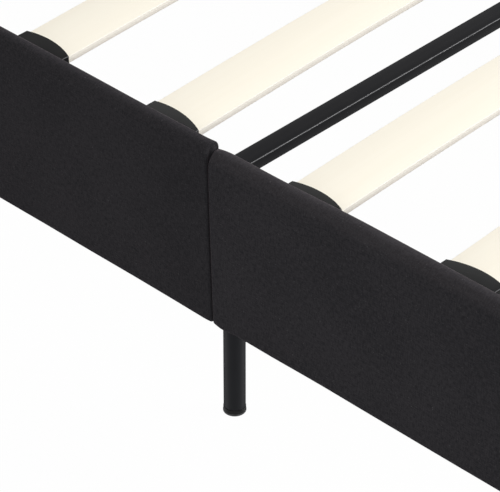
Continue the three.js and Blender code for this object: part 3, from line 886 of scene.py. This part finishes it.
# Pressure swells the covers where nothing holds them. All are stepped together, and then each
# point's move is eased so that it never passes the limit: limit times tanh(move / limit).
def swellCovers(covers):
    limit = clothMove["limit"]
    for obj, hold in covers:
        addCloth(obj, hold)
    for step in range(1, clothMove["frames"] + 1):
        scene.frame_set(step)
    graph = bpy.context.evaluated_depsgraph_get()
    for obj, _ in covers:
        rest, now = pointsOf(obj.data), pointsOf(obj.evaluated_get(graph).data)
        move = now - rest
        far = np.linalg.norm(move, axis=1)[:, None]
        print(obj.name, "swells by up to", round(float(far.max()) / mm, 2), "mm")
        eased = rest + move * limit * np.tanh(far / limit) / np.maximum(far, 1e-9)
        obj.modifiers.clear()
        obj.vertex_groups.clear()
        obj.data.vertices.foreach_set("co", eased.astype(np.float32).ravel())
        obj.data.update()
    scene.frame_set(1)


covers = [
    addPanel("left_foot", "-y", "soft", 11),
    addPanel("left_head", "-y", "square", 12, mirrored=True),
    addPanel("right_head", "+y", "soft", 13),
    addPanel("right_foot", "+y", "square", 14, mirrored=True),
    addPanel("foot", "+x", None, 15),
    addPanel("head", "-x", None, 16),
]
swellCovers(covers)
for cover, _ in covers:
    smooth = cover.modifiers.new("smooth", "SUBSURF")
    smooth.levels = smooth.render_levels = 1
print("panels made")


slatShape = {"edge": 0.8 * mm, "thickness": 9 * mm, "steps": 64, "toneStep": 0.37}
# No two slats sit quite alike in their caps. Lengths are in mm and angles in degrees.
# Across: along the bed. Lift and bow: height of the ends and of the middle. Roll: slope across
# the slat at its left end. Mouth and skew: where the left cap's mouth stands, and how far it is
# out of square. Sink and spread: how far its roof lies lower, and its footward side stands out.
noPlay = dict.fromkeys(("across", "lift", "bow", "roll", "mouth", "skew", "sink", "spread"), 0.0)
slatPlay = {
    3: {"across": 0.6, "lift": 0.8, "bow": 1.6, "roll": -0.9, "mouth": 2.5, "skew": -3.6, "spread": 1.2},
    4: {"lift": 0.3, "bow": 2.4, "roll": -3.0, "mouth": -1.3, "skew": -6.3, "spread": 3.3},
    5: {"across": 1.6, "lift": -0.3, "bow": -1.0, "roll": -0.8, "mouth": -6.8, "skew": -1.6, "sink": 0.7,
        "spread": -0.8},
    6: {"across": 1.5, "lift": 1.2, "bow": 2.0, "roll": 0.6, "mouth": 2.1, "skew": 3.6, "spread": -0.8},
}
slatCount = 8
halfBed = 0.5  # metres from a slat's middle to where its ends' play is whole


def playOf(i):
    return {**noPlay, **slatPlay.get(i, {})}


def slope(degrees):
    return math.tan(math.radians(degrees))


# A bowed board: a rounded section carried along a circular arc that the node's box gives,
# by its length, its rise and its thickness.
def slatSurface(node):
    lo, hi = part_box(node)
    half, width, thickness = (hi.y - lo.y) / 2, hi.x - lo.x, slatShape["thickness"]
    rise = (hi.z - lo.z) - thickness
    radius = (half ** 2 + rise ** 2) / (2 * rise)
    turn = math.asin(half / radius)
    section = roundedLoop(width, thickness, slatShape["edge"], 4)
    angle = np.linspace(-turn, turn, slatShape["steps"] + 1)
    reach = radius - thickness / 2 + section[:, 1]
    y = reach[None, :] * np.sin(angle)[:, None]
    z = hi.z - radius + reach[None, :] * np.cos(angle)[:, None]
    x = np.broadcast_to((lo.x + hi.x) / 2 + section[:, 0], y.shape)
    return np.stack((x, y, z), -1)[::-1], (angle * radius)[::-1], section, thickness, width


# Moves a slat's points by its own play: all of it at the left end, none of the roll at the right.
def swayed(points, i, centre):
    play, out = playOf(i), points.copy()
    left = smoothStep((halfBed - points[..., 1]) / (2 * halfBed))
    middle = np.cos(np.pi * np.clip(points[..., 1], -halfBed, halfBed)) ** 2
    out[..., 0] += play["across"] * mm
    out[..., 2] += (play["lift"] + play["bow"] * middle) * mm
    out[..., 2] += slope(play["roll"]) * left * (points[..., 0] - centre)
    return out


# The map runs along the slat, and across it round its section; on the two edges, its second
# axis is the height within the slat, from 0 to 1.
def addSlat(i):
    node = f"slat_{i}"
    loops, along, section, thickness, _ = slatSurface(node)
    obj = newObject(f"slat_board_{i}", loft(swayed(loops, i, loops[0, :, 0].mean())), [veneer, plyEdge])
    cols = loops.shape[1]
    steps = np.linalg.norm(np.diff(section, axis=0, append=section[:1]), axis=1)
    around = np.concatenate(([0], np.cumsum(steps)))
    level = section[:, 1] / thickness + 0.5
    flatMap, onEdge = [], []
    for face in obj.data.polygons:
        isEnd = len(face.vertices) > 4
        side = isEnd or abs(face.normal.x) > 0.35
        onEdge.append(int(side))
        corners = [divmod(v, cols) for v in face.vertices]
        wraps = not isEnd and {0, cols - 1} <= {c for _, c in corners}
        for r, c in corners:
            if side:
                flatMap.append((section[c, 0] if isEnd else along[r], level[c]))
            else:
                flatMap.append((along[r], around[cols] if wraps and c == 0 else around[c]))
    setMap(obj, flatMap)
    obj.data.polygons.foreach_set("material_index", np.array(onEdge, np.int32))
    setPointValue(obj, "tone", slatShape["toneStep"] * i)
    settle(obj, f"slat_set_{i}", "slat_wood", node)


capShape = {
    "pocketDepth": 1.0006, "backRadius": 4 * mm, "bulge": 7.8 * mm, "frontDepth": 35.5 * mm,
    "pegDiameter": 8 * mm, "pegSpacing": 40 * mm, "pegLength": 11 * mm, "pegPlace": 14.5 * mm,
    "pegRadius": 0.8 * mm, "pegOverlap": 0.5 * mm, "bevel": 0.8 * mm, "pocketGap": 0.3 * mm,
}
# the cap that takes the darker copy of the plastic, as painted shade
shadedCap = (3, "left")


# The plan of a cap seen from above, mouth towards +Y: two rounded back corners and a long arc.
def capPlan(halfWidth, depth, steps=24):
    look = capShape
    radius = (halfWidth ** 2 + look["bulge"] ** 2) / (2 * look["bulge"])
    turn = math.asin(halfWidth / radius)
    angle = np.linspace(math.pi / 2 - turn, math.pi / 2 + turn, steps + 1)
    middle = depth + look["bulge"] - radius
    mouth = np.column_stack((radius * np.cos(angle), middle + radius * np.sin(angle)))
    quarter = np.linspace(0, math.pi / 2, 7)
    r = look["backRadius"]
    backLeft = np.column_stack((-halfWidth + r - r * np.cos(quarter), r - r * np.sin(quarter)))
    backRight = np.column_stack((halfWidth - r + r * np.sin(quarter), r - r * np.cos(quarter)))
    return np.concatenate((mouth, backLeft, backRight))


# A cap is made with its back at y = 0 and its mouth towards +Y, then turned and carried to its end.
def addCap(i, side):
    look, play, onLeft = capShape, playOf(i), side == "left"
    node = f"slat_cap_{i}_{side}"
    lo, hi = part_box(node)
    halfWidth = (hi.x - lo.x) / 2
    centre, back = (lo.x + hi.x) / 2, lo.y if onLeft else hi.y
    bottom, roof = lo.z + look["pegLength"], hi.z
    plan = capPlan(halfWidth, look["frontDepth"])
    if onLeft:
        roof -= play["sink"] * mm
        forward = plan[:, 1] > 0.8 * look["frontDepth"]
        plan[:, 0] *= np.where(plan[:, 0] > 0, 1 + play["spread"] * mm / halfWidth, 1)
        plan[forward, 1] += play["mouth"] * mm + slope(play["skew"]) * plan[forward, 0]
    plan[:, 0] -= play["across"] * sideSign[side] * mm
    material = dullShadedPlastic if (i, side) == shadedCap else plastic
    obj = newObject("cap", plateSurface(plan, bottom, roof, look["bevel"], 3), material)
    # the pocket follows the slat's own band, a little larger
    loops, _, _, thickness, width = slatSurface(f"slat_{i}")
    middle = loops.mean(axis=1, keepdims=True)
    grow = 1 + 2 * look["pocketGap"] / np.array((width, np.inf, thickness))
    pocket = swayed(middle + (loops - middle) * grow, i, centre) - np.array((centre, 0, 0))
    pocket *= (-sideSign[side], -sideSign[side], 1)
    pocket[:, :, 1] = pocket[:, :, 1] * look["pocketDepth"] + abs(back)
    cutAway(obj, loft(pocket))
    r, top = look["pegDiameter"] / 2, bottom + look["pegOverlap"]
    peg = turnedSurface(softened(((0, lo.z), (r, lo.z), (r, top), (0, top)), look["pegRadius"]), 24)
    pegs = [moved(peg, (sign * look["pegSpacing"] / 2, look["pegPlace"], 0)) for sign in (-1, 1)]
    whole = together([takenBack(obj), *pegs])
    # the ridges along the roof's sides get a painted highlight, on the points inside their bevels
    x, z = whole[0][:, 0], whole[0][:, 2]
    across = np.maximum(x - plan[:, 0].max(), plan[:, 0].min() - x) / look["bevel"] + 1
    above = (z - roof) / look["bevel"] + 1
    ridge = np.where(np.maximum(across, above) < 0.95, np.minimum(across, above), 0)
    whole = moved(whole if onLeft else turned(whole, 2), (centre, back, 0))
    cap = newObject(f"end_cap_{i}_{side}", whole, material, 40)
    setPointValue(cap, "paintedHighlight", np.clip(2 * ridge, 0, 1))
    settle(cap, f"slat_set_{i}", "black_plastic", node)


for i in range(1, slatCount + 1):
    addSlat(i)
    for side in sideSign:
        addCap(i, side)
print("slats and caps made")


boltShape = {
    "across": 10 * mm, "headHeight": 4 * mm, "chamfer": 0.9 * mm, "chamferHeight": 0.5 * mm,
    "washer": 14 * mm, "washerLow": -1.0 * mm, "sunk": 0.2 * mm, "arris": 0.3 * mm,
}


# A hexagonal head that points down from a washer, which is sunk a little into what is at z = 0.
def hexBolt():
    look = boltShape
    corner, r, top = look["across"] / 2 / math.cos(math.pi / 6), look["washer"] / 2, look["sunk"]
    low = -look["headHeight"] - top
    radii, heights = (corner - look["chamfer"], corner, corner), (low, low + look["chamferHeight"], -top)
    head = stacked([hexagon(radius) for radius in radii], heights)
    profile = ((0, look["washerLow"]), (r, look["washerLow"]), (r, top), (0, top))
    return together([head, turnedSurface(softened(profile, look["arris"]), 32)])


screwShape = {
    "diameter": 10 * mm, "height": 2.5 * mm, "arris": 1.2 * mm, "slot": (0.9 * mm, 4.4 * mm),
    "slotCorner": 0.2 * mm, "slotFoot": 0.35, "slotLow": 0.3, "slotHigh": 1.3,
}


# A pan head with a cross recess, made by cutting two crossed slots into a turned head.
def panHead(at, facing):
    look, height, r = screwShape, screwShape["height"], screwShape["diameter"] / 2
    profile = [(0, 0), (r, 0), (r, height * 0.45), (r * 0.72, height * 0.92), (0, height)]
    obj = newObject("head", turnedSurface(softened(profile, look["arris"]), 36), zinc)
    for size in (look["slot"], look["slot"][::-1]):
        loop = roundedLoop(*size, look["slotCorner"], 1)
        heights = (height * look["slotLow"], height * look["slotHigh"])
        cutAway(obj, stacked((loop * look["slotFoot"], loop), heights))
    return moved(laidAlongY(takenBack(obj), facing), at)


tubeShape = {
    "width": 30 * mm, "wall": 1.5 * mm, "radius": 2.6 * mm, "pegHole": 8.6 * mm, "pegHoleDepth": 4 * mm,
    "panelGap": 2.5 * mm, "screwPlaces": (55.75 * mm, 436 * mm), "lastScrew": 55 * mm,
}


# One half of a side tube with its holes for the caps' pegs, and the screws that hold the board to it.
def addSideTube(side, half):
    shape, node, sign = tubeShape, f"side_tube_{side}_{half}", sideSign[side]
    lo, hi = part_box(node)
    inner = (hi.y if side == "left" else lo.y) + sign * shape["panelGap"]
    centreY, centreZ = inner + sign * shape["width"] / 2, (hi.z + lo.z) / 2
    tube = tubeSurface(hi.x - lo.x, shape["width"], hi.z - lo.z, shape["wall"], shape["radius"])
    obj = newObject(f"ledge_tube_{side}_{half}", moved(tube, (lo.x, centreY, centreZ)), coatedSteel)
    holes, reach = [], capShape["pegSpacing"] / 2
    for i in range(1, slatCount + 1):
        capLo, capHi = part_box(f"slat_cap_{i}_{side}")
        x = (capLo.x + capHi.x) / 2
        if lo.x < x < hi.x:
            hole = bar(shape["pegHole"], hi.z - shape["pegHoleDepth"], hi.z + cutPast)
            holes += [moved(hole, (x + step, centreY, 0)) for step in (-reach, reach)]
    cutAway(obj, together(holes))
    settle(obj, "frame", "coated_steel", node)
    outwards, far = endSign[half], hi.x if half == "foot" else lo.x
    places = [outwards * x for x in shape["screwPlaces"]] + [far - outwards * shape["lastScrew"]]
    heads = [panHead((x, inner, centreZ), -sign) for x in places]
    addPiece(f"panel_screws_{side}_{half}", together(heads), zinc, "bolt_steel", angle=40)


for side in sideSign:
    for half in endSign:
        addSideTube(side, half)
print("side tubes made")


crossShape = {
    "wall": 1.2 * mm, "radius": 1.6 * mm, "boltHole": 6.6 * mm, "highlightFrom": 0.25, "highlightReach": 0.35,
    "boltHead": 3.5 * mm, "boltShank": 3 * mm, "socket": 2.31 * mm, "socketDepth": 2 * mm,
}


# The upper ridges get a painted highlight: most where a point lies well inside both corner strips.
def addCrossTube():
    lo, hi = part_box("cross_tube")
    look, height, width, radius = crossShape, hi.z - lo.z, hi.x - lo.x, crossShape["radius"]
    tube = turned(tubeSurface(hi.y - lo.y, width, height, look["wall"], radius), 1)
    obj = newObject("cross_bar", moved(tube, (0, lo.y, (lo.z + hi.z) / 2)), glossSteel)
    legLo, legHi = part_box("leg_middle_right")
    hole = bar(look["boltHole"], lo.z - cutPast, hi.z + cutPast)
    cutAway(obj, together([moved(hole, (0, sign * (legLo.y + legHi.y) / 2, 0)) for sign in (-1, 1)]))
    p = pointsOf(obj.data)
    across = np.abs(p[:, 0]) - (width / 2 - radius)
    above = p[:, 2] - (hi.z - radius)
    inside = np.minimum(across, above) / radius - look["highlightFrom"]
    setPointValue(obj, "paintedHighlight", np.clip(inside / look["highlightReach"], 0, 1))
    settle(obj, "frame", "coated_steel", "cross_tube")


# A button head with a hex socket over its shank.
def addCrossBolt(side):
    look, (lo, hi) = crossShape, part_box(f"cross_bolt_{side}")
    r, shank, under = (hi.x - lo.x) / 2, look["boltShank"], hi.z - look["boltHead"]
    profile = [(0, lo.z), (shank, lo.z), (shank, under), (r, under), (r, under + 0.9 * mm),
               (r * 0.66, hi.z - 0.25 * mm), (0, hi.z)]
    obj = newObject(f"cross_bolt_{side}_button", turnedSurface(softened(profile, 0.8 * mm), 40), zinc)
    cutAway(obj, stacked([hexagon(look["socket"])] * 2, (hi.z - look["socketDepth"], hi.z + cutPast)))
    obj.data.transform(Matrix.Translation((0, (lo.y + hi.y) / 2, 0)))
    settle(obj, "frame", "bolt_steel", f"cross_bolt_{side}")


addCrossTube()
for side in sideSign:
    addCrossBolt(side)


plateShape = {
    "thickness": 3 * mm, "overLeg": 3.3 * mm, "coverGap": 0.3 * mm, "cornerRadius": 5 * mm,
    "bolts": (-62 * mm, -30 * mm, 30 * mm, 62 * mm), "arm": 111 * mm, "shoulder": 30 * mm,
    "armBolts": (40 * mm, 66 * mm), "endScrews": (-380 * mm, 0, 380 * mm),
}
spigotShape = {"length": 35 * mm, "radius": 11.5 * mm, "wall": 2 * mm, "arris": 0.8 * mm, "sunk": 1 * mm}


# A short tube that a leg pushes onto, sunk a little into the plate over it.
def spigotPart(x, y, under):
    look, r, bore = spigotShape, spigotShape["radius"], spigotShape["radius"] - spigotShape["wall"]
    top = under + look["sunk"]
    low = top - look["length"]
    profile = softened(((bore, top), (bore, low), (r, low), (r, top)), look["arris"])
    return moved(turnedRing(profile, 40), (x, y, 0))


def addJointPlate(side, plateTop):
    node = f"joint_plate_{side}"
    lo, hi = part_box(node)
    y, under = (lo.y + hi.y) / 2, plateTop - plateShape["thickness"]
    plan = roundedLoop(hi.x - lo.x, tubeShape["width"], plateShape["cornerRadius"], 5)
    plate = moved(plateSurface(plan, under, plateTop), (0, y, 0))
    addPiece(f"splice_plate_{side}", together([plate, spigotPart(0, y, under)]), coatedSteel,
             "coated_steel", node)
    bolts = [moved(hexBolt(), (x, y, under)) for x in plateShape["bolts"]]
    addPiece(f"splice_bolts_{side}", together(bolts), zinc, "bolt_steel")


weldShape = {
    "radius": 1.8 * mm, "pool": 2.2 * mm, "fromTube": 0.4 * mm, "overPlate": 0.2 * mm, "fromEnds": 2 * mm,
}


# Weld bead: a half-round ridge along a line, rippled by overlapping pools.
def weldBead(start, end):
    radius, pool = weldShape["radius"], weldShape["pool"]
    start, end = np.array(start, float), np.array(end, float)
    length = np.linalg.norm(end - start)
    along = (end - start) / length
    side = np.cross(along, (0, 0, 1.0))
    t = np.linspace(0, 1, int(length / (pool / 5)))
    pools = 0.8 + 0.2 * np.abs(np.sin(t * length / pool * math.pi))
    swell = radius * pools * np.minimum(1, np.sin(t * math.pi) * 12 + 0.05)
    angle = np.linspace(0, 2 * np.pi, 10, endpoint=False)
    ring = np.cos(angle)[:, None] * side + np.sin(angle)[:, None] * np.array((0, 0, 1.0))
    loops = (start + t[:, None] * (end - start))[:, None, :] + swell[:, None, None] * ring[None]
    return loft(loops[::-1])


# The tube across an end, with a gusset plate, a spigot, two bolts and a weld at each corner, and
# the screws that hold the end board to it.
def addEndFrame(end, plateTop):
    shape, sign, width = plateShape, endSign[end], tubeShape["width"]
    node = f"{end}_frame"
    lo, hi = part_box(node)
    tubeLo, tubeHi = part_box(f"side_tube_left_{end}")
    height, centreZ = tubeHi.z - tubeLo.z, (tubeHi.z + tubeLo.z) / 2
    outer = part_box(f"{end}_cover")[0 if sign > 0 else 1].x - sign * shape["coverGap"]
    centreX, reach = outer - sign * width / 2, max(abs(lo.y), abs(hi.y))
    tube = turned(tubeSurface(2 * reach, width, height, tubeShape["wall"], tubeShape["radius"]), 1)
    tube = moved(tube, (centreX, -reach, centreZ))
    addPiece(f"{end}_ledge_tube", tube, coatedSteel, "coated_steel", node)
    plates, bolts, beads = [], [], []
    under, arm, shoulder = plateTop - shape["thickness"], shape["arm"], shape["shoulder"]
    for side in (-1, 1):
        steps = np.array(((0, 0), (0, arm), (shoulder, arm), (arm, shoulder), (arm, 0)))
        plan = np.array((outer, side * reach)) - steps * (sign, side)
        plates.append(plateSurface(plan if sign * side < 0 else plan[::-1], under, plateTop))
        spigotY = side * (reach - width / 2)
        plates.append(spigotPart(centreX, spigotY, under))
        for step in shape["armBolts"]:
            x = outer - sign * (width + shape["coverGap"] + step)
            bolts.append(moved(hexBolt(), (x, spigotY, under)))
        near, far = reach - weldShape["fromEnds"], reach - arm + weldShape["fromEnds"]
        x, z = outer - sign * (width + weldShape["fromTube"]), plateTop + weldShape["overPlate"]
        beads.append(weldBead((x, side * near, z), (x, side * far, z)))
    addPiece(f"{end}_gussets", together(plates), coatedSteel, "coated_steel", angle=30)
    addPiece(f"{end}_welds", together(beads), coatedSteel, "coated_steel", angle=60)
    addPiece(f"{end}_bolts", together(bolts), zinc, "bolt_steel")
    heads = [moved(turned(panHead((0, 0, 0), 1), 1 if sign > 0 else 3), (outer - sign * width, y, centreZ))
             for y in shape["endScrews"]]
    addPiece(f"{end}_screws", together(heads), zinc, "bolt_steel", angle=40)


plateTops = {side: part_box(f"leg_middle_{side}")[1].z + plateShape["overLeg"] for side in sideSign}
for side, plateTop in plateTops.items():
    addJointPlate(side, plateTop)
for end in endSign:
    addEndFrame(end, plateTops["left"])
print("end frames made")


legShape = {"wall": 1.2 * mm, "arris": 0.35 * mm, "steps": 64}
glideShape = {
    "rim": 0.7 * mm, "base": 2.4 * mm, "taper": 3.2 * mm, "shelf": 7.6 * mm, "top": 8 * mm, "plug": 24 * mm,
    "collarStep": 0.4 * mm, "plugGap": 0.3 * mm, "arris": 0.3 * mm,
    "highlightAmount": (0.7, 0.04), "highlightBand": 0.4 * mm,
}


# A tube with softened mouths, and the glide pushed into its foot: a base a little wider than the
# leg, a collar and a plug.
def addLeg(end, side):
    lo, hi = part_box(f"leg_{end}_{side}")
    x, y, r = (lo.x + hi.x) / 2, (lo.y + hi.y) / 2, (hi.y - lo.y) / 2
    bore, steps, shape = r - legShape["wall"], legShape["steps"], glideShape
    profile = softened(((bore, hi.z), (bore, lo.z), (r, lo.z), (r, hi.z)), legShape["arris"], 3)
    addPiece(f"leg_tube_{end}_{side}", moved(turnedRing(profile, steps), (x, y, 0)), coatedSteel,
             "coated_steel", f"leg_{end}_{side}")
    low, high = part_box(f"glide_{end}_{side}")
    base = (high.y - low.y) / 2
    collar, plug, step = base - shape["collarStep"], bore - shape["plugGap"], shape["collarStep"]
    profile = [(0, 0), (base - shape["rim"], 0), (base, shape["rim"]), (base, shape["base"]),
               (collar, shape["taper"]), (collar, shape["shelf"]), (collar - step, shape["top"]),
               (plug, shape["top"]), (plug, shape["plug"]), (0, shape["plug"])]
    part = turnedSurface(softened(profile, shape["arris"], 2), steps)
    glide = newObject(f"foot_glide_{end}_{side}", moved(part, (x, y, 0)), plastic)
    # painted highlight: strong on its widest edge and faint on the rest
    highlighted = np.abs(pointsOf(glide.data)[:, 2] - shape["base"]) < shape["highlightBand"]
    setPointValue(glide, "paintedHighlight", np.where(highlighted, *shape["highlightAmount"]))
    settle(glide, "frame", "black_plastic", f"glide_{end}_{side}")


for end in ("head", "middle", "foot"):
    for side in sideSign:
        addLeg(end, side)
print("legs made")


stapleShape = {
    "wide": 0.9 * mm, "thick": 0.5 * mm, "corner": 0.2 * mm, "length": 10 * mm, "spacing": 42 * mm,
    "fromEdge": 19 * mm, "fromEnd": 30 * mm, "offBack": 0.1 * mm,
}


# Flat wire bars on a panel's back, in a row along each long edge.
def addStaples(name, node, facing):
    look, (length, depth, height) = stapleShape, panelSize(node, facing)
    loop = roundedLoop(look["wide"], look["thick"], look["corner"], 1)
    ring = np.column_stack((np.zeros(len(loop)), loop[:, 1], loop[:, 0]))
    reach, parts = np.array((look["length"] / 2, 0, 0)), []
    count = int((length - 2 * look["fromEnd"]) / look["spacing"]) + 1
    for w in (look["fromEdge"], height - look["fromEdge"]):
        for u in np.linspace(look["fromEnd"], length - look["fromEnd"], count):
            centre = np.array((u, depth + look["offBack"], w))
            parts.append(loft((centre + reach + ring, centre - reach + ring)))
    points, faces = together(parts)
    addPiece(name, (placedPanel(points, node, facing), faces), wire, "bolt_steel")


for side, facing in (("left", "-y"), ("right", "+y")):
    for half in endSign:
        addStaples(f"staples_{side}_{half}", f"rail_cover_{side}_{half}", facing)
addStaples("staples_foot", "foot_cover", "+x")
addStaples("staples_head", "head_cover", "-x")


roomLook = {
    "floorSize": 30.0, "floorShade": 0.72, "shadowShare": 0.015,
    "worldStrength": 0.36, "skyPower": 34, "fillPower": 44, "mainPower": 710,
}
cameraPlace = {
    "azimuth": 43.908, "elevation": 35.671, "lens": 211.2,
    "place": (1.8735, -2.4072, 2.1618),
}


# A pale floor that shows white to the camera and to glossy rays, and keeps a share of its shadow.
def addFloor():
    half, shade = roomLook["floorSize"] / 2, roomLook["floorShade"]
    corners = np.array(((-half, -half, 0), (half, -half, 0), (half, half, 0), (-half, half, 0)), float)
    material, tree, *_ = newMaterial("paleFloor", Base_Color=(shade, shade, shade, 1), Roughness=0.9)
    share = times(tree, showingRays(tree), 1 - roomLook["shadowShare"])
    lit = tree.nodes["Principled BSDF"].outputs[0]
    glow = wired(tree, "ShaderNodeEmission", {"Strength": 1.0})[0]
    mixed = wired(tree, "ShaderNodeMixShader", {0: share, 1: lit, 2: glow})[0]
    feed(tree, tree.nodes["Material Output"].inputs["Surface"], mixed)
    newObject("floor", (corners, [[0, 1, 2, 3]]), material)


def addWorld():
    scene.world = bpy.data.worlds.new("studio")
    scene.world.use_nodes = True
    tree = scene.world.node_tree
    light = tree.nodes["Background"].inputs
    light["Color"].default_value = (1, 1, 1, 1)
    strength = mapRange(tree, showingRays(tree), 0.0, 1.0, roomLook["worldStrength"], 1.0)
    feed(tree, light["Strength"], strength)


# A round lamp that faces its target.
def addLamp(name, at, target, size, power):
    obj = linked(name, setAll(bpy.data.lights.new(name, "AREA"), shape="DISK", size=size, energy=power))
    obj.location = at
    obj.rotation_euler = (Vector(target) - Vector(at)).to_track_quat("-Z", "Y").to_euler()


def addCamera():
    camera = bpy.data.cameras.new("camera")
    obj = linked("camera", setAll(camera, lens=cameraPlace["lens"], sensor_width=36, clip_end=100))
    azimuth, elevation = (math.radians(cameraPlace[k]) for k in ("azimuth", "elevation"))
    obj.rotation_euler = (math.pi / 2 - elevation, 0, azimuth)
    obj.location = cameraPlace["place"]
    scene.camera = obj


addFloor()
addWorld()
addLamp("sky", (0.3, 0.6, 5.0), (0, -0.1, 0.3), 4.0, roomLook["skyPower"])
addLamp("fill", (2.6, -3.4, 2.6), (0, -0.2, 0.3), 2.0, roomLook["fillPower"])
addLamp("main", (5.4, 5.1, 5.65), (0, -0.1, 0.35), 4.8, roomLook["mainPower"])
addCamera()
scene.view_settings.view_transform = "Standard"
print("room, light and camera made")
